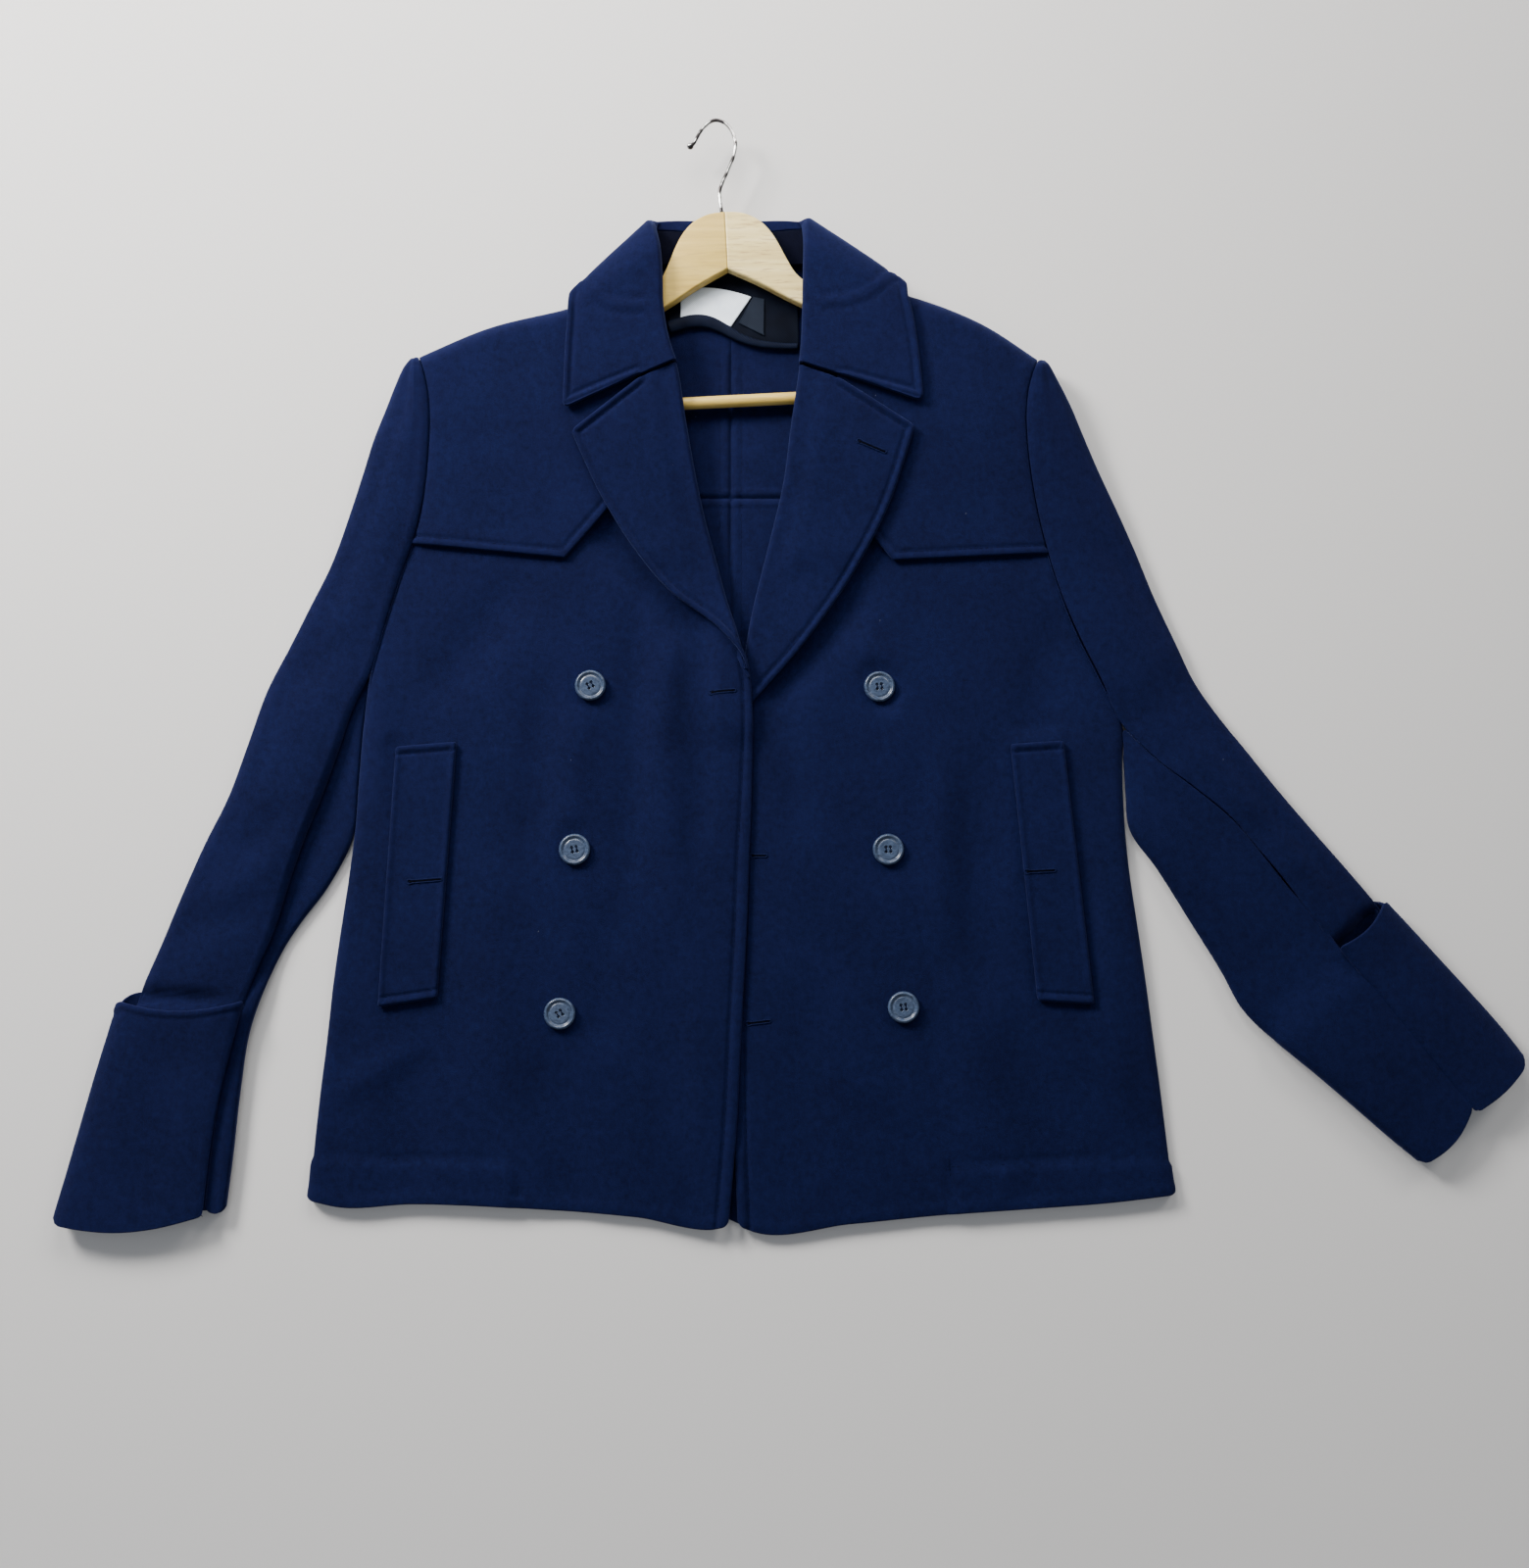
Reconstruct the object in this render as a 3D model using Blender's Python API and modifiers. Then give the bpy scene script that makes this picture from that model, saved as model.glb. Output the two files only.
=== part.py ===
"""Double-breasted wool pea coat, laid on its back over a wooden hanger.

Tables are in millimetres in the coat's own frame: x runs from the centre back
seam towards the wearer's left, y from the hem up to the collar, z up from the
surface that the coat lies on. The wearer's right half has negative x. Every
solid is scaled to metres and moved so that the whole coat stands on its
origin, which is the middle of its box at the bottom.
"""
import math

import bmesh
import bpy
import numpy as np
from mathutils import Matrix

MM = 0.001
COAT_MIDDLE = (50.14, 458.3)     # plan position of the box's middle, coat frame

# --- cloth -----------------------------------------------------------------
MELTON = 2.5                     # wall of one ply of the wool
FOLDED = 3.0                     # wall of lapels and collar, two pressed plies
SEAM = 0.3                       # space between pieces that meet
LIE = 0.55                       # space under a piece that lies on a panel
SIDE_ROUND = 10.0                # plan radius of the fold down to the back
SHOULDER_ROUND = 13.0            # the same along the shoulders
RIM_SPARE = 0.7                  # a turned edge's inner corner hangs this much lower
ARMHOLE_DIP = 1.6                # how deep the armhole seam sinks
EDGE_INSET = 8.0                 # the fronts stop this far inside the roll line
CORNER_INSET = 13.0              # and this much more at the neck, round the hanger
TURN_PLAN = 4.2                  # plan radius of the roll of lapels and collar
TURN_HALF = 4.7                  # half the height of the collar's roll at the back
LAPEL_HALF = 5.05                # the same of the lapels, round the front's edge
LINING_LEG = 8.0                 # how far the rolled cloth goes back inside

# --- the body's edges, from the hem up -------------------------------------
SIDE = {
    "right": [(-329, 26), (-327, 60), (-324, 98), (-319, 150), (-315, 197), (-310, 240),
              (-305, 280), (-301, 320), (-299, 360), (-296, 405)],
    "left": [(349, 30), (345, 70), (341, 110), (336, 155), (331, 200), (326, 240),
             (321, 280), (318, 315), (317, 345), (317, 372)],
}
# armhole x, y; then the sleeve's outer outline on the same rib, and its swell
ARMHOLE_RIBS = {
    "right": [(-290, 448, -358, 469, 4.5), (-281, 484, -342, 503, 4.5),
              (-270, 521, -327, 536, 4.5), (-257, 560, -313, 577, 4.5),
              (-250, 595, -303, 610, 4.0), (-247, 628, -294, 640, 3.5),
              (-246, 655, -284, 666, 3.0), (-248, 678, -277, 684, 2.4),
              (-252, 695, -270, 699, 1.8), (-255, 703, -266, 705, 1.2),
              (-257.5, 707.5, -264.5, 709, 0.6)],
    "left": [(317, 402, 379, 436, 4.5), (301, 438, 362, 473, 4.5),
             (284, 474, 346, 510, 4.5), (269, 512, 333, 545, 4.5),
             (257, 552, 319, 578, 4.5), (248, 594, 302, 616, 4.0),
             (243, 632, 290, 645, 3.5), (242, 662, 281, 667, 2.8),
             (246, 687, 270, 689, 2.0), (250, 698, 264, 700, 1.4),
             (253, 704, 261, 706, 0.6)],
}
SHOULDER_TIP = {"right": (-259, 710), "left": (255, 708)}
UNDER_FLAP = 4.0                 # the front's shoulder edge lies inside the flap's
FRONT_TIP = {"right": (-257, 706.6), "left": (253.3, 704.6)}
# front edge and roll line: x at height y, up to the neck
FRONT_EDGE = {
    "right": [(0, 7), (6, 80), (10, 164), (14, 240), (16, 298), (18, 360), (18, 418), (15, 450),
              (8, 474), (0, 497), (-10, 533), (-20, 570), (-29, 612), (-36, 652), (-43, 695),
              (-50, 720), (-55, 748), (-56, 775)],
    "left": [(7, 7), (4, 80), (2, 164), (3, 240), (4, 298), (5, 360), (8, 418), (11, 450),
             (14, 474), (19, 500), (27, 533), (35, 565), (43, 600), (49, 645), (56, 695),
             (58, 720), (59, 748), (60, 779)],
}
HEM = {
    "right": [(-329, 26), (-306, 21), (-249, 23), (-164, 20), (-72, 13), (-7, 5), (0, 7)],
    "left": [(7, 7), (16, 3), (97, 8), (159, 14), (243, 20), (297, 24), (349, 30)],
}
SHOULDER = {
    "right": [(-259, 710), (-200, 735), (-133, 752), (-90, 765), (-56, 775)],
    "left": [(60, 779), (98, 774), (146, 763), (207, 739), (255, 708)],
}
# outer face of the fronts above the floor, by height on the coat
FRONT_RISE = [(0, 7.4), (100, 8.2), (250, 9.6), (420, 10.2), (520, 11.4), (570, 13.6),
              (620, 18.4), (665, 22.6), (705, 25.2), (745, 26.9), (790, 28.1)]
# soft folds of the fronts: ends, half width, height (negative sinks)
FOLDS = {
    "right": [(-92, 470, -86, 250, 20, -1.6), (-60, 470, -52, 210, 19, 1.9),
              (-24, 480, -14, 330, 16, -1.2), (-200, 130, -150, 20, 26, 1.0)],
    "left": [(182, 400, 214, 200, 20, -1.9), (70, 480, 62, 250, 24, 1.3),
             (120, 110, 90, 10, 26, 0.9), (232, 500, 292, 404, 24, -1.2)],
}
CROSSING_RISE = 4.4              # the right front's edge over the left lapel
# --- lapels: roll line from/to height, outer edge, notch edge ---------------
LAPEL = {
    "right": {"roll": (470, 699), "edge": [(1, 465), (-51, 511), (-103, 585), (-130, 642)],
              "notch": [(-40, 701), (-76, 685), (-130, 642)]},
    "left": {"roll": (418, 697), "edge": [(18, 420), (56, 463), (91, 511), (127, 576), (151, 646)],
             "notch": [(52, 699), (92, 684), (151, 646)]},
}
# --- storm flaps: lower edge with its corner, hidden inner edge -------------
FLAP = {
    "right": {"low": [(-260.2, 551), (-135, 539), (-105, 574), (-72, 614)],
              "inner": [(-72, 614), (-77, 690), (-90, 765)]},
    "left": {"low": [(259.6, 543), (133, 537), (112, 562), (80, 612)],
             "inner": [(80, 612), (88, 690), (98, 774)]},
}
# --- sleeves below the armhole: outer outline, front seam, inner outline,
#     height of the crown, of the upper piece and the under piece at the seam,
#     and of the fold at the inner outline ------------------------------------
SLEEVE = {
    "right": [(-358, 469, -290.6, 448, -294.2, 425, 15.0, 9.2, 6.0, 6.0),
              (-376, 430, -305, 415, -297.2, 402, 17.0, 9.6, 6.5, 6.5),
              (-390, 385, -315, 382, -300.2, 355, 19.0, 9.9, 6.8, 6.8),
              (-404, 342, -328, 343, -303.2, 312, 20.0, 10.1, 7.0, 7.0),
              (-421, 305, -341, 308, -322, 272, 20.0, 10.1, 7.0, 7.0),
              (-437, 266, -352, 272, -343, 243, 19.0, 10.2, 7.1, 7.0),
              (-453, 224, -362, 236, -355, 224, 18.0, 10.6, 7.4, 7.0),
              (-466, 190, -375, 203, -366, 199, 17.5, 12.0, 8.8, 8.4),
              (-477, 150, -390, 158, -379.5, 158, 17.0, 13.0, 9.8, 9.0),
              (-492, 105, -399, 112, -385.5, 110, 16.5, 13.0, 9.8, 9.0),
              (-506, 62, -404, 70, -389.5, 62, 16.0, 12.5, 9.3, 9.0),
              (-519, 17, -408, 25, -393.5, 24, 15.0, 12.0, 8.8, 8.5)],
    "left": [(379, 436, 317.5, 402, 318.6, 377, 14.0, 8.9, 8.9, 7.0),
             (397, 408, 343, 374, 319.5, 346, 17.0, 14.5, 14.5, 9.0),
             (419, 379, 372, 351, 321.5, 318, 18.5, 16.0, 16.0, 10.0),
             (441, 350, 401, 326, 343, 285, 19.0, 17.0, 17.0, 11.0),
             (467, 318, 428, 293, 370, 240, 19.0, 17.0, 17.0, 11.0),
             (493, 287, 449, 266, 392, 203, 18.5, 16.5, 16.5, 11.0),
             (513, 262, 464, 240, 407, 174, 18.0, 16.0, 16.0, 11.0),
             (535, 233, 486, 214, 432, 149, 17.5, 15.5, 15.5, 11.0),
             (560, 206, 514, 187, 463, 123, 17.0, 15.0, 15.0, 11.0),
             (584, 179, 542, 161, 494, 96, 16.5, 14.5, 14.5, 10.5),
             (604, 154, 564, 130, 520, 73, 16.0, 14.0, 14.0, 10.5),
             (618, 133, 581, 98, 543, 54, 15.0, 13.5, 13.5, 10.0)],
}
SEAM_LAP = {"right": 4.0, "left": -0.3}   # under piece past the seam, or short of it
SLEEVE_ROUND = 17.0              # plan radius of the sleeve's outer fold
HIND_SEAM = 0.62                 # hind seam, as a part of the way underneath
CUFF_RIB = {"right": 7, "left": 6}         # first rib that lies inside the cuff
# turned-back cuffs: outer outline, front seam, hind seam, crown, rim, bow
CUFF = {
    "right": [(-484, 182, -382, 181, -415, 183, 22.4, 15.9, 8),
              (-496, 136, -391.5, 140, -425, 139, 20.9, 16.4, 2),
              (-508, 90, -399, 104, -433, 95, 20.2, 16.3, 1),
              (-519, 47, -404.5, 64, -440, 52, 19.6, 15.9, 4),
              (-529, 9, -408.5, 15, -446, 11, 18.8, 15.4, 9)],
    "left": [(519.5, 260.5, 482, 224, 450, 207, 22.6, 19.2, 3),
             (545, 240, 503, 201, 475, 184, 21.0, 18.9, 1),
             (567, 215, 525, 178, 498, 162, 20.4, 18.4, 0),
             (589, 190, 546, 158, 521, 139, 20.0, 18.0, 0),
             (610, 164, 567, 126, 551, 110, 19.5, 17.5, 1),
             (629, 133, 585, 95, 574, 85, 18.6, 17.0, 3)],
}
# --- collar ribs from the gorge round to the centre back: roll x, y, outer
#     edge x, y, turn of the cloth in degrees, height of roll, of outer edge ---
COLLAR = {
    "right": [(-44, 702, -137, 659, 0, None, None), (-50, 720, -136, 683, 0, None, None),
              (-55, 748, -135, 710, 0, None, None), (-56, 776, -133.5, 733, 0, None, None),
              (-58, 800, -133, 747, 6, 28.2, 31.2), (-62, 817, -134, 756, 40, 23.0, 26.5),
              (-65, 826, -134.5, 762, 90, 14.0, 14.0), (-62, 831, -127, 761, 155, 7.0, 2.0),
              (-50, 832, -106, 751, 180, 4.7, 1.5), (-26, 832, -54, 746, 180, 4.7, 1.5)],
    "left": [(56, 700, 158, 665, 0, None, None), (58, 720, 156, 690, 0, None, None),
             (59, 748, 153, 716, 0, None, None), (59.5, 776, 149, 741, 0, None, None),
             (60, 800, 146, 756, 6, 28.2, 31.2), (60, 818, 146, 765, 40, 23.0, 26.5),
             (60, 827, 146, 772, 90, 14.0, 14.0), (57, 831, 139, 771, 155, 7.0, 2.0),
             (46, 832, 114, 757, 180, 4.7, 1.5), (24, 832, 58, 748, 180, 4.7, 1.5)],
}
COLLAR_BACK = (0, 832, 0, 746, 180, 4.7, 1.5)
BREAK_RISE = 1.2                 # the upper lapel stands off where its roll starts
FLAP_SHARE = 0.85                # half a flap's height, added to the roll over it
COLLAR_SWELL = 1.6               # how far the fall stands proud between its edges
# neck seam under each of the last collar ribs: x, y, height
NECK_SEAM = {
    "right": [(-74, 781, 15.0), (-77, 785, 12.5), (-75, 789, 10.6), (-66, 791.5, 9.4),
              (-50, 792, 9.0), (-26, 792, 9.0)],
    "left": [(76, 783, 15.0), (79, 787, 12.5), (77, 790, 10.6), (68, 792, 9.4),
             (50, 792, 9.0), (25, 792, 9.0)],
}
NECK_SEAM_BACK = (0, 792, 9.0)
BACK_NECK = {"right": [(-56, 775), (-48, 783), (0, 789)], "left": [(60, 779), (48, 784), (0, 789)]}
# --- what lies on the fronts ------------------------------------------------
WELT = {
    "right": [(-278, 176), (-231, 183), (-220, 388), (-269, 384)],
    "left": [(289, 178), (244, 181), (226, 386), (269, 389)],
}
BUTTONS = {
    "right": [(-113, 434), (-124, 301), (-134, 171)],
    "left": [(121, 433), (127, 301), (138, 176)],
}
BUTTON_RADIUS = 12.5
# button profile from the middle of its underside: radius, height
BUTTON_PROFILE = [(0, 0), (9.5, 0), (11.9, 1.1), (12.5, 2.6), (11.7, 3.9), (10.3, 4.3),
                  (9.0, 3.7), (7.6, 3.0), (0, 2.8)]
BUTTON_SIDES = 24
BUTTON_HOLE = (1.15, 2.3)        # radius of a hole, its distance from the middle
# --- inside the neck --------------------------------------------------------
FACING = 1.5                     # wall of the smooth neck facing
FACING_LOW = [(-53, 739), (-5, 734), (30, 728), (57, 721)]
FACING_HIGH = [(-50, 779), (-30, 784), (0, 787), (30, 784), (56, 777)]
LABEL = [(-42, 747), (5, 744), (17, 766), (-42, 772)]
SIZE_LABEL = [(6.5, 741), (28, 730), (28, 762), (18.5, 764)]
LABEL_WALL = 0.8
# --- the hanger, in its own frame: apex at the origin, x along the bar ------
HANGER_APEX = (-5.0, 832.0)
HANGER_TURN = 3.0                # degrees that it lies turned on the floor
HANGER_THICK = 11.0
ARM_EDGE = 1.5                   # rounding of the wood's edges
HANGER_MID = 18.75               # middle of the wood above the floor at the apex
HANGER_FALL = 0.05               # how much it drops towards the bar
ARM_TOP = [(0.2, 0), (14, -1.5), (26, -7), (36, -17), (43, -29), (49, -42), (56, -55), (68, -66),
           (90, -78), (130, -95), (170, -113), (200, -131), (214, -144), (218, -154), (213, -163)]
ARM_LOW = [(205, -167), (198, -166), (198, -151), (170, -134), (130, -114), (90, -97), (52, -78),
           (25, -62), (0.2, -49)]
BAR_Y = -159.5
BAR_RADIUS = 5.0
BAR_END = 197.7
WIRE_RADIUS = 1.5
# hook: coat frame x, y; it lies in the hanger's plane
HOOK = [(-7.2, 832.35), (-8.5, 846), (-6, 862), (0, 876), (3, 889), (0, 902), (-7, 911), (-17, 915.5),
        (-26, 911), (-32, 902), (-37, 894)]
HOOK_BALL = 2.4
# --- the back --------------------------------------------------------------
YOKE_SEAM_Y = 593.0
NECK_LIFT = 3.6                  # the back lies over the collar's back fall
NECK_LIFT_FROM = 696.0
NECK_LIFT_TO = 730.0
HEM_BACK_Y = 11.0                # hem at the centre back
COLUMNS = 13                     # panel columns beyond the rounded edge
LAPEL_RIBS = 11


def smooth(t):
    """Ease from 0 to 1 over the unit interval."""
    t = np.clip(t, 0.0, 1.0)
    return t * t * (3.0 - 2.0 * t)


def curve_at(rows, count=None, at=None):
    """Points on a smooth curve through the rows, at even or given parameters."""
    p = np.array(rows, float)
    t = np.concatenate(([0.0], np.cumsum(np.linalg.norm(np.diff(p, axis=0), axis=1))))
    slope = np.gradient(p, t, axis=0)
    u = (np.linspace(0.0, 1.0, count) if at is None else np.asarray(at, float)) * t[-1]
    k = np.clip(np.searchsorted(t, u, side="right") - 1, 0, len(t) - 2)
    h = (t[k + 1] - t[k])[:, None]
    s = (u - t[k])[:, None] / h
    return ((2 * s**3 - 3 * s**2 + 1) * p[k] + (s**3 - 2 * s**2 + s) * h * slope[k]
            + (3 * s**2 - 2 * s**3) * p[k + 1] + (s**3 - s**2) * h * slope[k + 1])


def value_at(rows, y):
    """Smooth value of a two-column table whose first column is the height y."""
    a = np.array(rows, float)
    slope = np.gradient(a[:, 1], a[:, 0])
    y = np.clip(np.asarray(y, float), a[0, 0], a[-1, 0])
    k = np.clip(np.searchsorted(a[:, 0], y, side="right") - 1, 0, len(a) - 2)
    h = a[k + 1, 0] - a[k, 0]
    s = (y - a[k, 0]) / h
    return ((2 * s**3 - 3 * s**2 + 1) * a[k, 1] + (s**3 - 2 * s**2 + s) * h * slope[k]
            + (3 * s**2 - 2 * s**3) * a[k + 1, 1] + (s**3 - s**2) * h * slope[k + 1])


def edge_x(side, y):
    """x of the front edge or roll line at height y."""
    return value_at([(b, a) for a, b in FRONT_EDGE[side]], y)


def patch(bottom, top, start, end, u, v):
    """Grid of plan points between four edges, blended from all of them."""
    u = np.asarray(u)[None, :, None]
    v = np.asarray(v)[:, None, None]
    ends = (1 - u) * start[:, None] + u * end[:, None]
    rungs = (1 - v) * bottom[None] + v * top[None]
    corners = ((1 - u) * (1 - v) * start[0] + u * (1 - v) * end[0]
               + (1 - u) * v * start[-1] + u * v * end[-1])
    return ends + rungs - corners


def front_height(side, x, y):
    """Outer face of a front over the back, the hanger and its own folds."""
    z = value_at(FRONT_RISE, y)
    for x0, y0, x1, y1, half, height in FOLDS[side]:
        along = np.array([x1 - x0, y1 - y0], float)
        length = np.linalg.norm(along)
        along /= length
        s = ((x - x0) * along[0] + (y - y0) * along[1]) / length
        off = (x - x0) * along[1] - (y - y0) * along[0]
        fade = smooth((s + 0.25) / 0.5) * smooth((1.25 - s) / 0.5)
        z = z + height * np.exp(-(off / half) ** 2) * fade
    if side == "right":
        over = smooth((x + 34.0) / 26.0) * smooth((520.0 - y) / 60.0)
        z = z + (MELTON + 3 * SEAM) * over
        crossing = smooth((x + 42.0) / 42.0) * smooth((y - 378.0) / 28.0) * smooth((512.0 - y) / 60.0)
        z = z + CROSSING_RISE * crossing
    return z


def back_lift(y):
    """How far the back is lifted by the collar under its neck."""
    return NECK_LIFT * smooth((y - NECK_LIFT_FROM) / (NECK_LIFT_TO - NECK_LIFT_FROM))


def material(name, colour, roughness, metallic=0.0):
    """Principled material, made once."""
    found = bpy.data.materials.get(name)
    if found:
        return found
    made = bpy.data.materials.new(name)
    made.use_nodes = True
    shader = made.node_tree.nodes["Principled BSDF"]
    shader.inputs["Base Color"].default_value = (*colour, 1.0)
    shader.inputs["Roughness"].default_value = roughness
    shader.inputs["Metallic"].default_value = metallic
    return made


def finish(obj, look):
    """Link an object to the coat's collection with its material."""
    obj.data.materials.append(look)
    coat.objects.link(obj)
    return obj


def sheet(name, grid, wall, look, out=(0, 0, 1), even=True):
    """Cloth from a grid of outer points; Solidify gives it its wall inwards."""
    rows, cols = grid.shape[:2]
    r, c = rows // 2, cols // 2
    normal = np.cross(grid[r, c] - grid[r, c - 1], grid[r, c] - grid[r - 1, c])
    turned = normal @ np.array(out, float) < 0
    faces = []
    for r in range(rows - 1):
        for c in range(cols - 1):
            face = (r * cols + c, r * cols + c + 1, (r + 1) * cols + c + 1, (r + 1) * cols + c)
            faces.append(face[::-1] if turned else face)
    place = np.array([-COAT_MIDDLE[0], -COAT_MIDDLE[1], 0.0])
    mesh = bpy.data.meshes.new(name)
    mesh.from_pydata(((grid + place) * MM).reshape(-1, 3).tolist(), [], faces)
    mesh.shade_smooth()
    mesh.set_sharp_from_angle(angle=math.radians(50))
    obj = bpy.data.objects.new(name, mesh)
    cloth = obj.modifiers.new("cloth", "SOLIDIFY")
    cloth.thickness = wall * MM
    cloth.offset = -1.0
    cloth.use_even_offset = even
    return finish(obj, look)


TURN_STEPS = np.radians([0, 14, 50, 90])


def quarter(radius, length):
    """Parameters across a panel, spread over the quarter turn at its edge."""
    return radius * (1 - np.cos(TURN_STEPS)) / length


def polyline_at(rows, at):
    """Points on straight runs through the rows, at parameters of its length."""
    p = np.array(rows, float)
    t = np.concatenate(([0.0], np.cumsum(np.linalg.norm(np.diff(p, axis=0), axis=1))))
    u = np.asarray(at) * t[-1]
    return np.stack([np.interp(u, t, p[:, 0]), np.interp(u, t, p[:, 1])], axis=1)


def armhole(side):
    return [row[:2] for row in ARMHOLE_RIBS[side]]


def from_outside(side, rows):
    """A table's rows in order from the side of the coat to its middle."""
    return rows if side == "right" else rows[::-1]


# --- fronts ----------------------------------------------------------------
def turned_down(z, rim, top, plan, radius):
    """Heights with the side columns and the shoulder rows turned down."""
    turn = np.ones(z.shape[1])
    turn[:4] = np.sin(TURN_STEPS)
    z = rim + (z - rim) * turn[None]
    drop = np.hypot(*(top[None] - plan).transpose(2, 0, 1))
    down = np.sqrt(1 - (1 - np.clip(drop / radius, 0, 1)) ** 2)
    seat = MELTON + SEAM + RIM_SPARE + back_lift(plan[..., 1])
    return seat + (z - seat) * down


def shoulder_line(side, u, end_x):
    """Points along the shoulder from its tip, ending where x is end_x."""
    rows = from_outside(side, SHOULDER[side])
    fine = np.linspace(0, 1, 201)
    reach = fine[np.argmin(np.abs(curve_at(rows, at=fine)[:, 0] - end_x))]
    return curve_at(rows, at=u * reach)


def front_grid(side):
    """Outer points of a front, from the side seam to its edge and roll line."""
    outer = np.array(SIDE[side] + armhole(side)[:-1] + [FRONT_TIP[side]], float)
    low, high = FRONT_EDGE[side][0][1], FRONT_EDGE[side][-1][1] - UNDER_FLAP
    part = (outer[:, 1] - outer[0, 1]) / (outer[-1, 1] - outer[0, 1])
    y = low + (high - low) * part
    inset = (-1 if side == "right" else 1) * EDGE_INSET * smooth((y - 440) / 30)
    if side == "left":
        inset = EDGE_INSET * smooth((y - 388) / 26)
    corner = (-1 if side == "right" else 1) * CORNER_INSET * smooth((y - 735) / 30)
    edge = np.stack([edge_x(side, y) + inset + corner, y], axis=1)
    near = quarter(SIDE_ROUND, 320.0)
    u = np.concatenate([near, np.linspace(near[-1], 1.0, COLUMNS + 1)[1:]])
    hem = curve_at(from_outside(side, HEM[side]), at=u)
    top = shoulder_line(side, u, edge[-1][0])
    top[:, 1] -= UNDER_FLAP
    top[0], top[-1] = outer[-1], edge[-1]
    plan = patch(hem, top, outer, edge, u, part)
    x, y = plan[..., 0], plan[..., 1]
    z = front_height(side, x, y)
    open_side = 1 - smooth((outer[:, 1] - SIDE[side][-1][1]) / 50.0)[:, None]
    rim = open_side * (MELTON + SEAM + RIM_SPARE) + (1 - open_side) * (z[:, :1] - ARMHOLE_DIP)
    return np.dstack([x, y, turned_down(z, rim, top, plan, SHOULDER_ROUND)])


def flap_grid(side):
    """Storm flap over the upper front, from the armhole to under the lapel."""
    low = FLAP[side]["low"]
    outer = np.array([low[0]] + [p for p in armhole(side) if p[1] > low[0][1] + 5]
                     + [SHOULDER_TIP[side]], float)
    part = (outer[:, 1] - outer[0, 1]) / (outer[-1, 1] - outer[0, 1])
    runs = np.cumsum(np.linalg.norm(np.diff(np.array(low, float), axis=0), axis=1))
    corners = runs[:2] / runs[-1]
    near = quarter(SIDE_ROUND, runs[-1])
    u = np.concatenate([near, np.linspace(near[-1], corners[0], 5)[1:],
                        np.linspace(corners[0], corners[1], 3)[1:], [0.88, 1.0]])
    bottom = polyline_at(low, u)
    top = shoulder_line(side, u, FLAP[side]["inner"][-1][0])
    inner = curve_at(FLAP[side]["inner"], at=part)
    inner[-1] = top[-1]
    plan = patch(bottom, top, outer, inner, u, part)
    x, y = plan[..., 0], plan[..., 1]
    z = front_height(side, x, y) + LIE + MELTON
    rim = z[:, :1] - ARMHOLE_DIP
    return np.dstack([x, y, turned_down(z, rim, top, plan, SHOULDER_ROUND + MELTON + LIE)])


def build_fronts(look):
    for side in ("right", "left"):
        sheet("front_" + side, front_grid(side), MELTON, look)
        sheet("storm_flap_" + side, flap_grid(side), MELTON, look)


# --- back ------------------------------------------------------------------
def back_grid(side, yoke):
    """Lower face of a back half, under or over the yoke seam."""
    outline = np.array(SIDE[side] + armhole(side) + [SHOULDER_TIP[side]], float)
    split = YOKE_SEAM_Y + (SEAM if yoke else 0.0)
    seam_x = np.interp(split, outline[:, 1], outline[:, 0])
    keep = outline[:, 1] > split if yoke else outline[:, 1] < split
    rows = outline[keep]
    start = np.vstack([[seam_x, split], rows]) if yoke else np.vstack([rows, [seam_x, split]])
    part = (start[:, 1] - start[0, 1]) / (start[-1, 1] - start[0, 1])
    u = np.linspace(0, 1, 10)
    middle = SEAM / 2 * (-1 if side == "right" else 1)
    low = split if yoke else HEM_BACK_Y
    high = BACK_NECK[side][-1][1] if yoke else split
    end = np.stack([np.full(len(part), middle), low + (high - low) * part], axis=1)
    if yoke:
        rows = from_outside(side, SHOULDER[side])[:-1] + BACK_NECK[side]
        top = curve_at(rows, at=u)
        bottom = polyline_at([start[0], end[0]], u)
    else:
        hem = np.array(from_outside(side, HEM[side]), float)
        bottom = curve_at(hem, at=u) + np.outer(u, [middle - hem[-1, 0], HEM_BACK_Y - hem[-1, 1]])
        top = polyline_at([start[-1], end[-1]], u)
    top[0], top[-1], bottom[0], bottom[-1] = start[-1], end[-1], start[0], end[0]
    plan = patch(bottom, top, start, end, u, part)
    return np.dstack([plan, back_lift(plan[..., 1])])


def build_back(look):
    for side in ("right", "left"):
        sheet("back_" + side, back_grid(side, False), MELTON, look, out=(0, 0, -1))
        sheet("back_yoke_" + side, back_grid(side, True), MELTON, look, out=(0, 0, -1))


# --- lapels and collar -----------------------------------------------------
ROLL_TURNS = np.radians([-90, -45, 0, 45])


def rolled(inner, toward, up, half, top_points):
    """Add the roll and its leg inside to ribs that start at the roll's axis."""
    ribs = [inner - toward * LINING_LEG - up * half]
    for a in ROLL_TURNS:
        ribs.append(inner + toward * TURN_PLAN * math.cos(a) + up * half * math.sin(a))
    return np.concatenate([np.stack(ribs, axis=1), top_points], axis=1)


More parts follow.
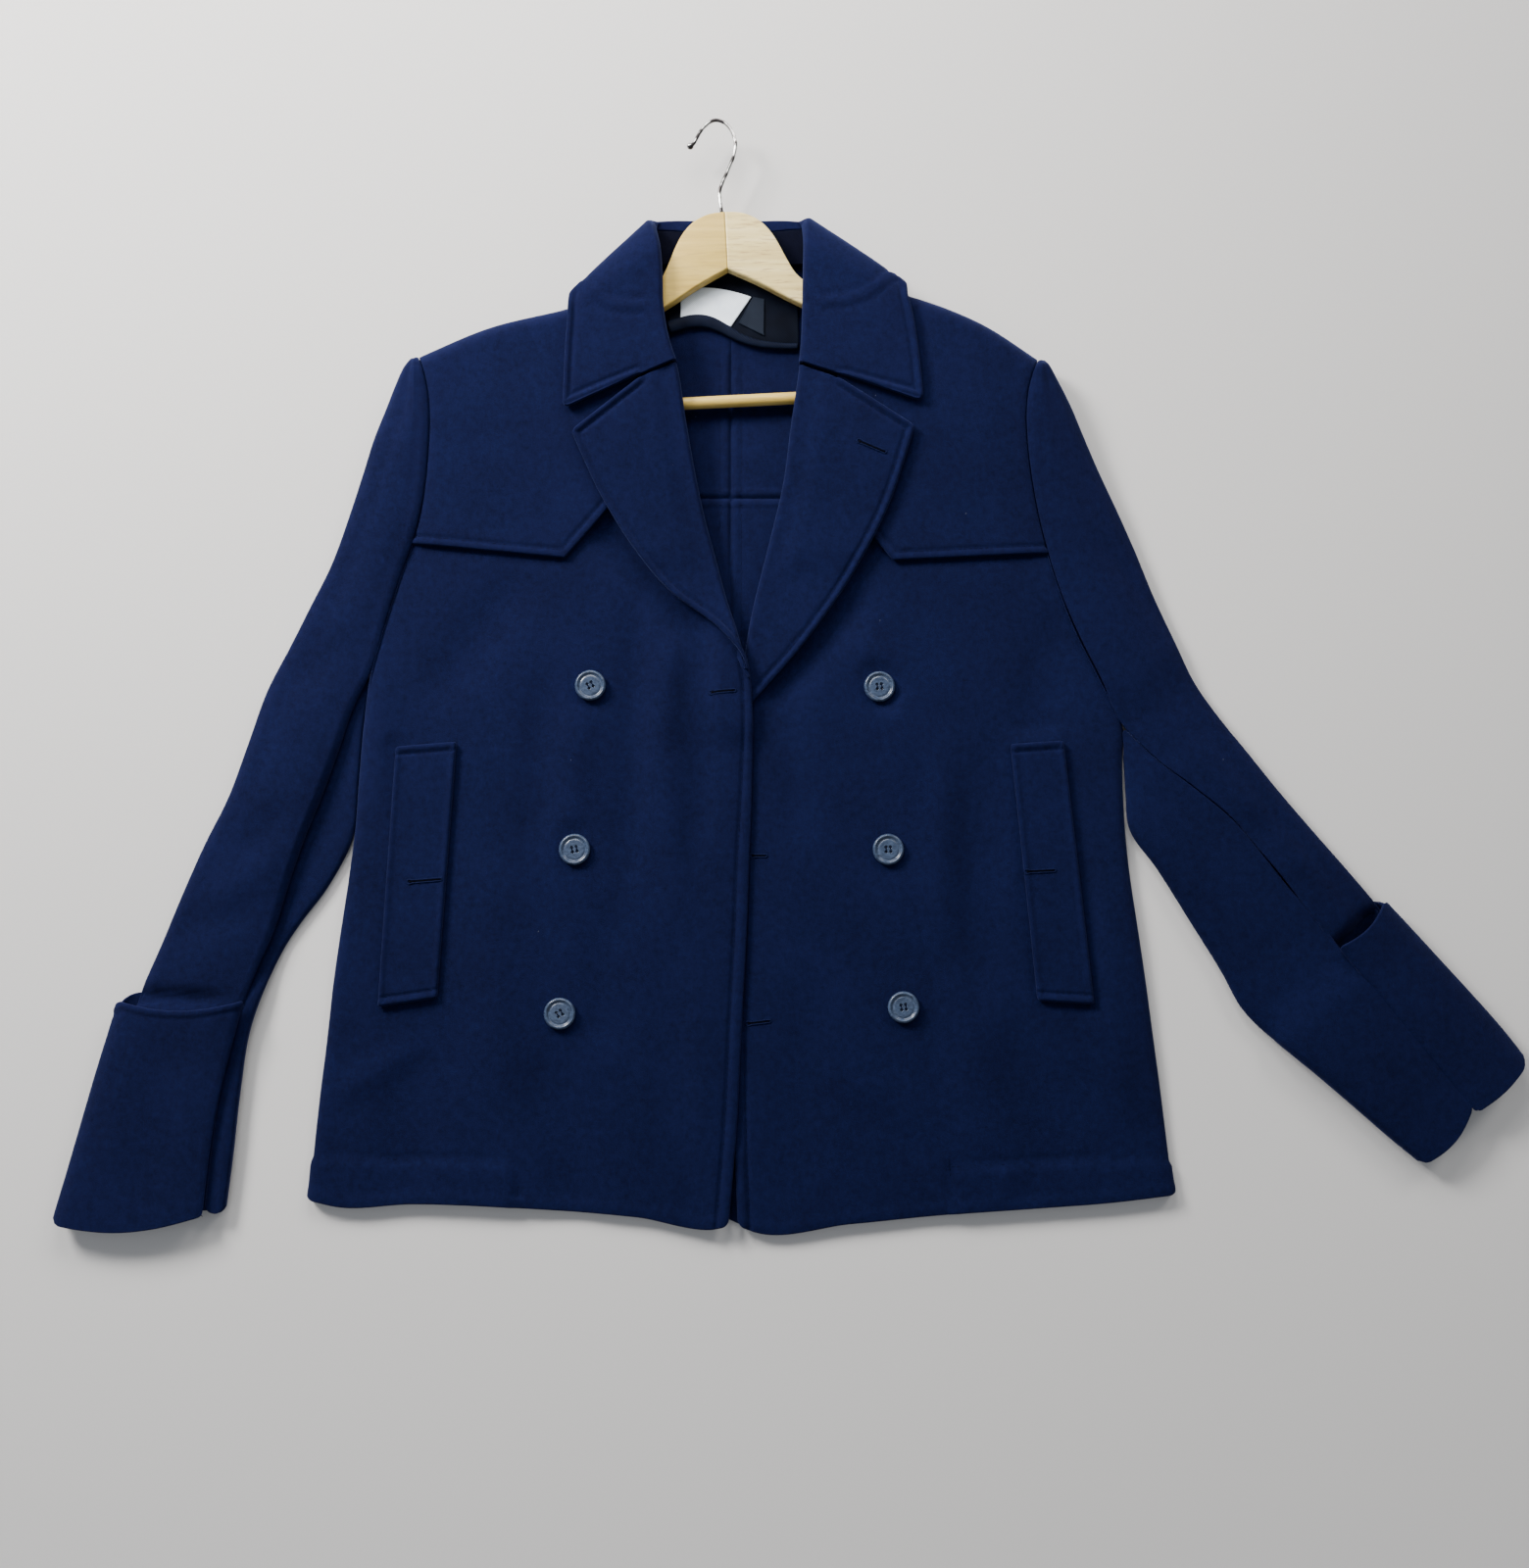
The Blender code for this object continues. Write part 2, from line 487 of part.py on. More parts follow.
def lapel_grid(side):
    """Lapel turned out over the front, with its roll round the front's edge."""
    part = np.linspace(0, 1, LAPEL_RIBS)
    y0, y1 = LAPEL[side]["roll"]
    y = y0 + (y1 - y0) * part
    sign = 1 if side == "right" else -1
    axis = np.stack([edge_x(side, y) - sign * TURN_PLAN, y], axis=1)
    edge = curve_at(LAPEL[side]["edge"], at=part)
    u = np.linspace(0, 1, 6)
    notch = polyline_at([axis[-1]] + LAPEL[side]["notch"][1:], u)
    plan = patch(polyline_at([axis[0], edge[0]], u), notch, axis, edge, u, part)
    x, y2 = plan[..., 0], plan[..., 1]
    z = front_height(side, x, y2) + LIE + FOLDED
    away = np.abs(x - edge_x(side, y2))
    z = z + (MELTON + LIE) * smooth((away - 8) / 20) * smooth((y2 - 518) / 30)
    rise = BREAK_RISE * smooth((545 - y2) / 50) if side == "right" else np.zeros_like(y2)
    top = np.dstack([x, y2, z + rise])
    toward = np.zeros((LAPEL_RIBS, 3))
    toward[:, :2] = axis - plan[:, 1]
    toward /= np.linalg.norm(toward, axis=1)[:, None]
    upward = np.array([[0, 0, 1.0]])
    half = LAPEL_HALF + rise[:, :1] * 0.6
    return rolled(top[:, 0] - upward * half, toward, upward, half, top)


def collar_ribs():
    """Collar ribs from the right gorge round the back to the left gorge."""
    rows = ([(r, -1) for r in COLLAR["right"]] + [(COLLAR_BACK, 0)]
            + [(r, 1) for r in COLLAR["left"][::-1]])
    axis, edge, ups, towards, halves = [], [], [], [], []
    for (rx, ry, ox, oy, turn, zr, zo), sign in rows:
        over = value_at(FRONT_RISE, np.array([ry, oy])) + MELTON + LIE + LIE + FOLDED
        a = math.radians(turn)
        half = TURN_HALF + FLAP_SHARE * (1 + math.cos(a))
        zr = over[0] - half if zr is None else zr
        zo = over[1] - FOLDED / 2 if zo is None else zo
        outward = np.array([ry - oy, -(rx - ox), 0.0]) * (1 if sign < 0 else -1)
        outward *= -1 / np.linalg.norm(outward)
        up = math.cos(a) * np.array([0, 0, 1.0]) + math.sin(a) * outward
        toward = np.array([rx - ox, ry - oy, 0.0])
        toward /= np.linalg.norm(toward)
        axis.append(np.array([rx, ry, zr]) - toward * TURN_PLAN)
        edge.append(np.array([ox, oy, zo]) + up * FOLDED / 2)
        ups.append(up)
        towards.append(toward)
        halves.append([half])
    return (np.array(a) for a in (axis, edge, ups, towards, halves))


def collar_grid():
    axis, edge, up, toward, half = collar_ribs()
    start = axis + up * half
    w = np.linspace(0, 1, 6)[None, :, None]
    fall = start[:, None] * (1 - w) + edge[:, None] * w
    swell = COLLAR_SWELL * np.sin(np.pi * w) * np.abs(up[:, None, 2:3])
    lying = (up[:, 2] < -0.5)[:, None, None]
    fall = fall + np.where(lying, 0.0, swell) * up[:, None]
    return rolled(axis, toward, up, half, fall)


def stand_grid():
    """Collar stand from the roll's leg down to the neck seam."""
    axis, _, up, toward, half = collar_ribs()
    count = len(NECK_SEAM["right"])
    first = len(COLLAR["right"]) - count
    leg = (axis - toward * (LINING_LEG + SEAM) - up * half)[first:-first]
    seam = np.array(NECK_SEAM["right"] + [NECK_SEAM_BACK] + NECK_SEAM["left"][::-1], float)
    w = np.array([0.0, 0.5, 1.0])[None, :, None]
    return leg[:, None] * (1 - w) + seam[:, None] * w


def build_lapels_and_collar(look):
    for side in ("right", "left"):
        sheet("lapel_" + side, lapel_grid(side), FOLDED, look)
    sheet("collar", collar_grid(), FOLDED, look, out=(0, 0, -1), even=False)
    sheet("collar_stand", stand_grid(), MELTON, look)


# --- sleeves ---------------------------------------------------------------
FOLD_TURNS = np.radians([-90, -52, -16, 20, 55, 90])


def sleeve_rows(side):
    """All ribs of a sleeve from its end up to the shoulder."""
    rows = [dict(a=r[0:2], b=r[2:4], c=r[4:6], crown=r[6], rim=r[7], ret=r[8], fold=r[9],
                 hind=HIND_SEAM, lift=(MELTON + LIE) * (i >= CUFF_RIB[side]))
            for i, r in enumerate(SLEEVE[side])]
    rows[0]["hind"] = 0.82
    for x, y, ax, ay, swell in ARMHOLE_RIBS[side][1:]:
        flap = (MELTON + LIE) * smooth((y - 530) / 30)
        rim = float(front_height(side, x, y) + flap - ARMHOLE_DIP)
        gone = abs(y - SHOULDER_TIP[side][1])
        rim *= float(np.sqrt(1 - (1 - min(gone / SHOULDER_ROUND, 1)) ** 2))
        rim = max(rim, 11.0)
        out = 0.5 if ax > x else -0.5
        point = (x + out, y)
        rows.insert(0, dict(a=(ax, ay), b=point, c=point, crown=rim + ARMHOLE_DIP * 0.6 + swell,
                            rim=rim, ret=0, fold=0, hind=1.0, lift=0))
    return rows


def rib(floor, outer, inner, radius, low, high, rim, dome, mids=4):
    """One rib: underneath, round the outer fold, over the top to the seam."""
    floor, outer, inner = (np.array(p, float) for p in (floor, outer, inner))
    width = np.linalg.norm(inner - outer)
    away = (inner - outer) / width
    under = (floor - outer) / np.linalg.norm(floor - outer)
    radius = min(radius, 0.42 * width)
    points = [(*floor, low), (*(floor + outer) * 0.5, low)]
    middle, half = (low + high) / 2, (high - low) / 2
    for a in FOLD_TURNS:
        along = away if a > 0 else under
        spot = outer + along * radius * (1 - math.cos(a))
        points.append((*spot, middle + half * math.sin(a)))
    turn = min(10.0, 0.3 * width)
    for t in np.linspace(radius, width - turn, mids)[1:]:
        u = (t - radius) / (width - radius)
        points.append((*(outer + away * t), high + dome * math.sin(math.pi * min(u * 1.1, 1.0))))
    crown = points[-1][2]
    for a in TURN_STEPS[::-1][1:]:
        spot = inner - away * turn * (1 - math.cos(a))
        points.append((*spot, rim + (crown - rim) * math.sin(a)))
    return points


def sleeve_top_grid(side):
    ribs = []
    for row in sleeve_rows(side):
        a, c = np.array(row["a"], float), np.array(row["c"], float)
        floor = a + (c - a) * row["hind"]
        high = row["crown"] - 2.2
        ribs.append(rib(floor, a, row["b"], SLEEVE_ROUND, row["lift"], high, row["rim"], 2.2))
    return np.array(ribs)


def sleeve_under_grid(side):
    ribs = []
    for row in sleeve_rows(side)[len(ARMHOLE_RIBS[side]) - 1:]:
        a, b, c = (np.array(row[k], float) for k in "abc")
        over = (a - c) / np.linalg.norm(a - c)
        floor = a + (c - a) * row["hind"] - over * SEAM
        past = (a - b) / np.linalg.norm(a - b)
        end = b + past * SEAM_LAP[side]
        back = end - c
        length = np.linalg.norm(back)
        back /= length
        low, fold = row["lift"], row["fold"]
        radius = min((fold - low) / 2 + 1.0, 0.3 * length)
        points = [(*floor, low), (*(floor + c + over * radius) * 0.5, low)]
        for turn in FOLD_TURNS:
            along = back if turn > 0 else over
            spot = c + along * radius * (1 - math.cos(turn))
            points.append((*spot, (low + fold) / 2 + (fold - low) / 2 * math.sin(turn)))
        for t in (0.45, 1.0):
            spot = c + back * (radius + (length - radius) * t)
            points.append((*spot, fold + (row["ret"] - fold) * math.sin(t * math.pi / 2)))
        ribs.append(points)
    return np.array(ribs)


def cuff_grid(side):
    ribs = []
    for ax, ay, bx, by, hx, hy, crown, rim, bow in CUFF[side]:
        points = np.array(rib((hx, hy), (ax, ay), (bx, by), SLEEVE_ROUND + 3, 0.0, crown - 1.0,
                              rim, 1.0))
        a, b = np.array([ax, ay], float), np.array([bx, by], float)
        along = (points[:, :2] - a) @ (b - a) / ((b - a) @ (b - a))
        down = np.array([-(b - a)[1], (b - a)[0]]) / np.linalg.norm(b - a)
        down *= 1 if down[1] < 0 else -1
        points[:, :2] += np.outer(bow * np.sin(np.pi * np.clip(along, 0, 1)), down)
        ribs.append(points)
    return np.array(ribs)


def build_sleeves(look):
    for side, sign in (("right", -1), ("left", 1)):
        sheet("sleeve_top_" + side, sleeve_top_grid(side), MELTON, look, out=(sign, 0.4, 0.6))
        sheet("sleeve_under_" + side, sleeve_under_grid(side), MELTON, look, out=(-sign, -0.4, 0.2))
        sheet("cuff_" + side, cuff_grid(side), MELTON, look, out=(sign, 0.2, 0.8))


# --- pieces on the fronts --------------------------------------------------
def welt_grid(side):
    low_out, low_in, high_in, high_out = (np.array(p, float) for p in WELT[side])
    u = np.linspace(0, 1, 4)[None, :, None]
    v = np.linspace(0, 1, 9)[:, None, None]
    plan = ((1 - u) * (1 - v) * low_out + u * (1 - v) * low_in
            + (1 - u) * v * high_out + u * v * high_in)
    z = front_height(side, plan[..., 0], plan[..., 1]) + LIE + FOLDED
    return np.dstack([plan, z])


def place_of(x, y, z):
    return ((x - COAT_MIDDLE[0]) * MM, (y - COAT_MIDDLE[1]) * MM, z * MM)


def button_mesh():
    """Turned button with four holes, its underside at height zero."""
    body = bmesh.new()
    ring = [body.verts.new((r * MM, 0, h * MM)) for r, h in BUTTON_PROFILE]
    edges = [body.edges.new(pair) for pair in zip(ring, ring[1:])]
    bmesh.ops.spin(body, geom=ring + edges, cent=(0, 0, 0), axis=(0, 0, 1),
                   angle=math.tau, steps=BUTTON_SIDES, use_merge=True)
    bmesh.ops.remove_doubles(body, verts=body.verts, dist=1e-6)
    bmesh.ops.recalc_face_normals(body, faces=body.faces)
    mesh = bpy.data.meshes.new("button")
    body.to_mesh(mesh)
    body.free()
    mesh.shade_smooth()
    mesh.set_sharp_from_angle(angle=math.radians(50))
    return mesh


def hole_cutter(cutters):
    """Four pins that cut a button's holes, joined in one object."""
    pins = bmesh.new()
    radius, reach = BUTTON_HOLE
    for quarter_turn in range(4):
        a = math.radians(45 + 90 * quarter_turn)
        made = bmesh.ops.create_cone(pins, cap_ends=True, segments=10, radius1=radius * MM,
                                     radius2=radius * MM, depth=20 * MM)
        bmesh.ops.translate(pins, verts=made["verts"],
                            vec=(reach * math.cos(a) * MM, reach * math.sin(a) * MM, 0))
    mesh = bpy.data.meshes.new("button_holes")
    pins.to_mesh(mesh)
    pins.free()
    cutter = bpy.data.objects.new("button_holes", mesh)
    cutter.hide_render = True
    cutter.display_type = "WIRE"
    cutters.objects.link(cutter)
    return cutter


def build_buttons(look, cutters):
    mesh = button_mesh()
    for side in ("right", "left"):
        for number, (x, y) in enumerate(BUTTONS[side], 1):
            round_spots = [(x + BUTTON_RADIUS * dx, y + BUTTON_RADIUS * dy)
                           for dx in (-1, 0, 1) for dy in (-1, 0, 1)]
            seat = max(float(front_height(side, a, b)) for a, b in round_spots) + SEAM
            button = bpy.data.objects.new(f"button_{side}_{number}", mesh.copy())
            button.location = place_of(x, y, seat)
            pins = hole_cutter(cutters)
            pins.location = button.location
            cut = button.modifiers.new("holes", "BOOLEAN")
            cut.operation = "DIFFERENCE"
            cut.object = pins
            finish(button, look)


def flat_piece(name, corners, base, wall, look):
    """Thin flat piece from four corners, its top at base plus wall."""
    low_a, low_b, high_b, high_a = (np.array(p, float) for p in corners)
    u = np.linspace(0, 1, 4)[None, :, None]
    v = np.linspace(0, 1, 3)[:, None, None]
    plan = (1 - v) * ((1 - u) * low_a + u * low_b) + v * ((1 - u) * high_a + u * high_b)
    z = back_lift(plan[..., 1]) + base + wall
    sheet(name, np.dstack([plan, z]), wall, look)


def build_neck(satin, white, grey):
    u = np.linspace(0, 1, 9)
    low, high = curve_at(FACING_LOW, at=u), curve_at(FACING_HIGH, at=u)
    v = np.array([0, 0.25, 0.5, 0.75, 1.0])[:, None, None]
    plan = (1 - v) * low[None] + v * high[None]
    z = back_lift(plan[..., 1]) + MELTON + LIE + FACING
    sheet("neck_facing", np.dstack([plan, z]), FACING, satin)
    on_facing = MELTON + LIE + FACING + SEAM
    flat_piece("neck_label", LABEL, on_facing, LABEL_WALL, white)
    flat_piece("size_label", SIZE_LABEL, on_facing, LABEL_WALL, grey)


# --- hanger ----------------------------------------------------------------
def hanger_frame():
    """Empty that carries the hanger: turned on the floor, dropping to the bar."""
    empty = bpy.data.objects.new("hanger_frame", None)
    empty.location = place_of(*HANGER_APEX, HANGER_MID)
    empty.rotation_euler = (math.atan(HANGER_FALL), 0, math.radians(HANGER_TURN))
    coat.objects.link(empty)
    return empty


def build_hanger(wood, steel):
    frame = hanger_frame()
    for side, sign in (("right", -1), ("left", 1)):
        curve = bpy.data.curves.new("hanger_arm_" + side, "CURVE")
        curve.dimensions = "2D"
        curve.fill_mode = "BOTH"
        curve.extrude = (HANGER_THICK / 2 - ARM_EDGE) * MM
        curve.bevel_depth = ARM_EDGE * MM
        curve.bevel_resolution = 1
        curve.offset = -ARM_EDGE * MM
        outline = ARM_TOP + ARM_LOW
        spline = curve.splines.new("POLY")
        spline.points.add(len(outline) - 1)
        for point, (x, y) in zip(spline.points, outline):
            point.co = (sign * x * MM, y * MM, 0, 1)
        spline.use_cyclic_u = True
        arm = bpy.data.objects.new("hanger_arm_" + side, curve)
        arm.parent = frame
        finish(arm, wood)
    bar_mesh = bpy.data.meshes.new("hanger_bar")
    bar = bmesh.new()
    bmesh.ops.create_cone(bar, cap_ends=True, segments=16, radius1=BAR_RADIUS * MM,
                          radius2=BAR_RADIUS * MM, depth=2 * BAR_END * MM)
    bmesh.ops.rotate(bar, verts=bar.verts, matrix=Matrix.Rotation(math.pi / 2, 3, "Y"))
    bar.to_mesh(bar_mesh)
    bar.free()
    bar_mesh.shade_smooth()
    bar_mesh.set_sharp_from_angle(angle=math.radians(50))
    rod = bpy.data.objects.new("hanger_bar", bar_mesh)
    rod.parent = frame
    rod.location = (0, BAR_Y * MM, 0)
    finish(rod, wood)
    wire = bpy.data.curves.new("hanger_hook", "CURVE")
    wire.dimensions = "3D"
    wire.bevel_depth = WIRE_RADIUS * MM
    wire.bevel_resolution = 2
    wire.use_fill_caps = True
    path = curve_at(HOOK, count=30)
    spline = wire.splines.new("POLY")
    spline.points.add(len(path) - 1)
    for index, (point, (x, y)) in enumerate(zip(spline.points, path)):
        z = HANGER_MID + (y - HANGER_APEX[1]) * HANGER_FALL
        point.co = (*place_of(x, y, z), 1)
        point.radius = HOOK_BALL / WIRE_RADIUS if index >= len(path) - 2 else 1.0
    hook = bpy.data.objects.new("hanger_hook", wire)
    finish(hook, steel)


def clear_scene():
    for obj in list(bpy.data.objects):
        bpy.data.objects.remove(obj, do_unlink=True)


clear_scene()
coat = bpy.data.collections.new("pea_coat")
cutters = bpy.data.collections.new("cutters")
for collection in (coat, cutters):
    bpy.context.scene.collection.children.link(collection)
WOOL = material("navy_melton", (0.012, 0.016, 0.045), 0.9)
build_back(WOOL)
build_fronts(WOOL)
build_lapels_and_collar(WOOL)
build_sleeves(WOOL)
for half in ("right", "left"):
    sheet("welt_" + half, welt_grid(half), FOLDED, WOOL)
build_buttons(material("slate_button", (0.10, 0.12, 0.17), 0.35), cutters)
build_neck(material("navy_satin", (0.006, 0.008, 0.02), 0.45),
           material("white_label", (0.75, 0.77, 0.80), 0.6),
           material("grey_label", (0.05, 0.06, 0.08), 0.6))
build_hanger(material("beech", (0.62, 0.42, 0.22), 0.5),
             material("bright_steel", (0.6, 0.6, 0.6), 0.25, 1.0))
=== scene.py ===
import math

import bpy
import numpy as np
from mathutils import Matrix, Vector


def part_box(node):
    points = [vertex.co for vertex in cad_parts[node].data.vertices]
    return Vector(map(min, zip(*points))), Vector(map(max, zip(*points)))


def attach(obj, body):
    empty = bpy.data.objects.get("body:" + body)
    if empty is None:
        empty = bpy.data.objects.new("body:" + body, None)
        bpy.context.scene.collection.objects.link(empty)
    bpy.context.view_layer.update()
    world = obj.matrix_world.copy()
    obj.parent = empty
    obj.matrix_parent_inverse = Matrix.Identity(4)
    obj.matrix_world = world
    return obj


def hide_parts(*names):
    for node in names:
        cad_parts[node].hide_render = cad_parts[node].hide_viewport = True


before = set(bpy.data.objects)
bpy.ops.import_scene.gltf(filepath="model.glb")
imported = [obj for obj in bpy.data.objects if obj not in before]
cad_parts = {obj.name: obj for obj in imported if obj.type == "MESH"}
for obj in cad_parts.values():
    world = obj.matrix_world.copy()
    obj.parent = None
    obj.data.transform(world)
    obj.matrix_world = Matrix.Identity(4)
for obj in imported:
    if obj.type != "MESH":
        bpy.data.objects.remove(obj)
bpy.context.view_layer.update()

mm = 0.001
coatMiddle = (50.14, 458.3)  # plan place of the origin in the coat's frame
sides = ("right", "left")
signOf = {"right": -1, "left": 1}  # x away from the middle

# walls, gaps and folds shared by the pieces
cloth = {
    "melton": 2.5,          # one ply of the wool
    "folded": 3.0,          # two pressed plies, as in lapels, collar and welts
    "seam": 0.3,            # gap where pieces meet
    "lie": 0.55,            # gap under a piece that lies on a panel
    "sideRound": 10.0,      # plan radius of the fold from front to back
    "shoulderRound": 13.0,
    "rimSpare": 0.7,
    "armholeDip": 1.6,
    "edgeInset": 8.0,       # a front stops this far inside the lapel's roll
    "cornerInset": 13.0,
    "underFlap": 4.0,
    "rollPlan": 4.2,        # plan radius of the lapels' and collar's roll
    "collarHalf": 4.7,      # half the height of the roll at the back neck
    "lapelHalf": 5.05,
    "leg": 8.0,             # how far the rolled cloth goes back inside
    "crossing": 4.4,        # the right front's edge over the left lapel
    "breakRise": 1.2,
    "flapShare": 0.85,
    "collarSwell": 1.6,
    "neckLift": 3.6,
    "neckLiftFrom": 696.0,
    "neckLiftTo": 730.0,
    "lapelStand": 2.4,      # how far the free edges stand off what is under them
    "collarStand": 2.0,
    "flapStand": 1.1,
    "weltStand": 0.7,
}

side = {
    "right": [(-329, 26), (-327, 60), (-324, 98), (-319, 150), (-315, 197), (-310, 240),
              (-305, 280), (-301, 320), (-299, 360), (-296, 405)],
    "left": [(349, 30), (345, 70), (341, 110), (336, 155), (331, 200), (326, 240),
             (321, 280), (318, 315), (317, 345), (317, 372)],
}
# armhole x, y; then the sleeve's outer outline on the same rib, and its swell
armholeRibs = {
    "right": [(-290, 448, -358, 469, 4.5), (-281, 484, -342, 503, 4.5),
              (-270, 521, -327, 536, 4.5), (-257, 560, -313, 577, 4.5),
              (-250, 595, -303, 610, 4.0), (-247, 628, -294, 640, 3.5),
              (-246, 655, -284, 666, 3.0), (-248, 678, -277, 684, 2.4),
              (-252, 695, -270, 699, 1.8), (-255, 703, -266, 705, 1.2),
              (-257.5, 707.5, -264.5, 709, 0.6)],
    "left": [(317, 402, 379, 436, 4.5), (301, 438, 362, 473, 4.5),
             (284, 474, 346, 510, 4.5), (269, 512, 333, 545, 4.5),
             (257, 552, 319, 578, 4.5), (248, 594, 302, 616, 4.0),
             (243, 632, 290, 645, 3.5), (242, 662, 281, 667, 2.8),
             (246, 687, 270, 689, 2.0), (250, 698, 264, 700, 1.4),
             (253, 704, 261, 706, 0.6)],
}
shoulderTip = {"right": (-259, 710), "left": (255, 708)}
frontTip = {"right": (-257, 706.6), "left": (253.3, 704.6)}
frontEdge = {  # x at height y, from the hem up the front edge and the roll line
    "right": [(0, 7), (6, 80), (10, 164), (14, 240), (16, 298), (18, 360), (18, 418), (15, 450),
              (8, 474), (0, 497), (-10, 533), (-20, 570), (-29, 612), (-36, 652), (-43, 695),
              (-50, 720), (-55, 748), (-56, 775)],
    "left": [(7, 7), (4, 80), (2, 164), (3, 240), (4, 298), (5, 360), (8, 418), (11, 450),
             (14, 474), (19, 500), (27, 533), (35, 565), (43, 600), (49, 645), (56, 695),
             (58, 720), (59, 748), (60, 779)],
}
hem = {
    "right": [(-329, 26), (-306, 21), (-249, 23), (-164, 20), (-72, 13), (-7, 5), (0, 7)],
    "left": [(7, 7), (16, 3), (97, 8), (159, 14), (243, 20), (297, 24), (349, 30)],
}
shoulder = {
    "right": [(-259, 710), (-200, 735), (-133, 752), (-90, 765), (-56, 775)],
    "left": [(60, 779), (98, 774), (146, 763), (207, 739), (255, 708)],
}
frontRise = [(0, 7.4), (100, 8.2), (250, 9.6), (420, 10.2), (520, 11.4), (570, 13.6),
             (620, 18.4), (665, 22.6), (705, 25.2), (745, 26.9), (790, 28.1)]
# soft folds of the fronts: from x, y to x, y, half width, height; a trough is negative
folds = {
    "right": [(-92, 470, -86, 250, 20, -1.6), (-60, 470, -52, 210, 19, 1.9),
              (-24, 480, -14, 330, 16, -1.2), (-200, 130, -150, 20, 26, 1.0)],
    "left": [(182, 400, 214, 200, 20, -1.9), (70, 480, 62, 250, 24, 1.3),
             (120, 110, 90, 10, 26, 0.9), (232, 500, 292, 404, 24, -1.2)],
}


# curves and fields
def smooth(t):  # eases from 0 to 1 over the unit interval
    t = np.clip(t, 0.0, 1.0)
    return t * t * (3.0 - 2.0 * t)


def unit(v):  # the last axis made one long
    return v / np.maximum(np.linalg.norm(v, axis=-1, keepdims=True), 1e-9)


def bell(d, wide):  # exp(-(d / wide) ** 2)
    return np.exp(-(d / wide) ** 2)


def hermite(p, slope, t, at):  # cubic through rows p at parameters t, with the given slopes
    k = np.clip(np.searchsorted(t, at, side="right") - 1, 0, len(t) - 2)
    shape = (-1,) + (1,) * (p.ndim - 1)
    h = (t[k + 1] - t[k]).reshape(shape)
    s = (at - t[k]).reshape(shape) / h
    return ((2 * s**3 - 3 * s**2 + 1) * p[k] + (s**3 - 2 * s**2 + s) * h * slope[k]
            + (3 * s**2 - 2 * s**3) * p[k + 1] + (s**3 - s**2) * h * slope[k + 1])


def lengthsAlong(p):
    return np.concatenate(([0.0], np.cumsum(np.linalg.norm(np.diff(p, axis=0), axis=1))))


def curveAt(rows, at):  # smooth curve through the rows, at parts of its length
    p = np.array(rows, float)
    t = lengthsAlong(p)
    return hermite(p, np.gradient(p, t, axis=0), t, np.asarray(at, float) * t[-1])


def polylineAt(rows, at):  # straight runs through the rows, at parts of their length
    p = np.array(rows, float)
    t = lengthsAlong(p)
    u = np.asarray(at, float) * t[-1]
    return np.stack([np.interp(u, t, p[:, k]) for k in range(p.shape[1])], axis=1)


def valueAt(rows, y):  # smooth value of a table whose first column is y
    a = np.array(rows, float)
    y = np.clip(np.asarray(y, float), a[0, 0], a[-1, 0])
    return hermite(a[:, 1], np.gradient(a[:, 1], a[:, 0]), a[:, 0], y.ravel()).reshape(y.shape)


def resample(grid, rowsAt, colsAt):  # smooth surface through a coarse grid, rows then columns
    for axis, at in ((0, rowsAt), (1, colsAt)):
        g = np.moveaxis(grid, axis, 0)
        t = np.concatenate(([0.0], np.cumsum(np.linalg.norm(np.diff(g, axis=0), axis=2).mean(1))))
        g = hermite(g, np.gradient(g, t, axis=0), t, at * t[-1])
        grid = np.moveaxis(g, 0, axis)
    return grid


def crowd(count, ends=0.6):  # 0 to 1 in steps that are shorter at both ends
    t = np.linspace(0, 1, count)
    return t - ends * np.sin(2 * np.pi * t) / (2 * np.pi)


def edgeX(which, y):
    return valueAt([(b, a) for a, b in frontEdge[which]], y)


def patch(bottom, top, start, end, u, v):  # plan grid blended from its four edges
    u, v = u[None, :, None], v[:, None, None]
    ends = (1 - u) * start[:, None] + u * end[:, None]
    rungs = (1 - v) * bottom[None] + v * top[None]
    corners = ((1 - u) * (1 - v) * start[0] + u * (1 - v) * end[0]
               + (1 - u) * v * start[-1] + u * v * end[-1])
    return ends + rungs - corners


def creaseField(rows, x, y):  # sum of soft ridges and troughs that fade at both ends
    z = np.zeros(np.shape(x))
    for x0, y0, x1, y1, half, height in rows:
        along = np.array([x1 - x0, y1 - y0], float)
        length = np.linalg.norm(along)
        along /= length
        s = ((x - x0) * along[0] + (y - y0) * along[1]) / length
        off = (x - x0) * along[1] - (y - y0) * along[0]
        fade = smooth((s + 0.25) / 0.5) * smooth((1.25 - s) / 0.5)
        z = z + height * bell(off, half) * fade
    return z


def distanceTo(x, y, path):  # distance in plan from every point to a run of straight pieces
    p = np.stack([np.ravel(x), np.ravel(y)], axis=1)
    best = np.full(len(p), 1e9)
    for a, b in zip(path[:-1], path[1:]):
        run = b - a
        t = np.clip(((p - a) @ run) / max(run @ run, 1e-9), 0, 1)
        best = np.minimum(best, np.hypot(*(p - a - t[:, None] * run).T))
    return best.reshape(np.shape(x))


def backLift(y):
    reach = cloth["neckLiftTo"] - cloth["neckLiftFrom"]
    return cloth["neckLift"] * smooth((y - cloth["neckLiftFrom"]) / reach)


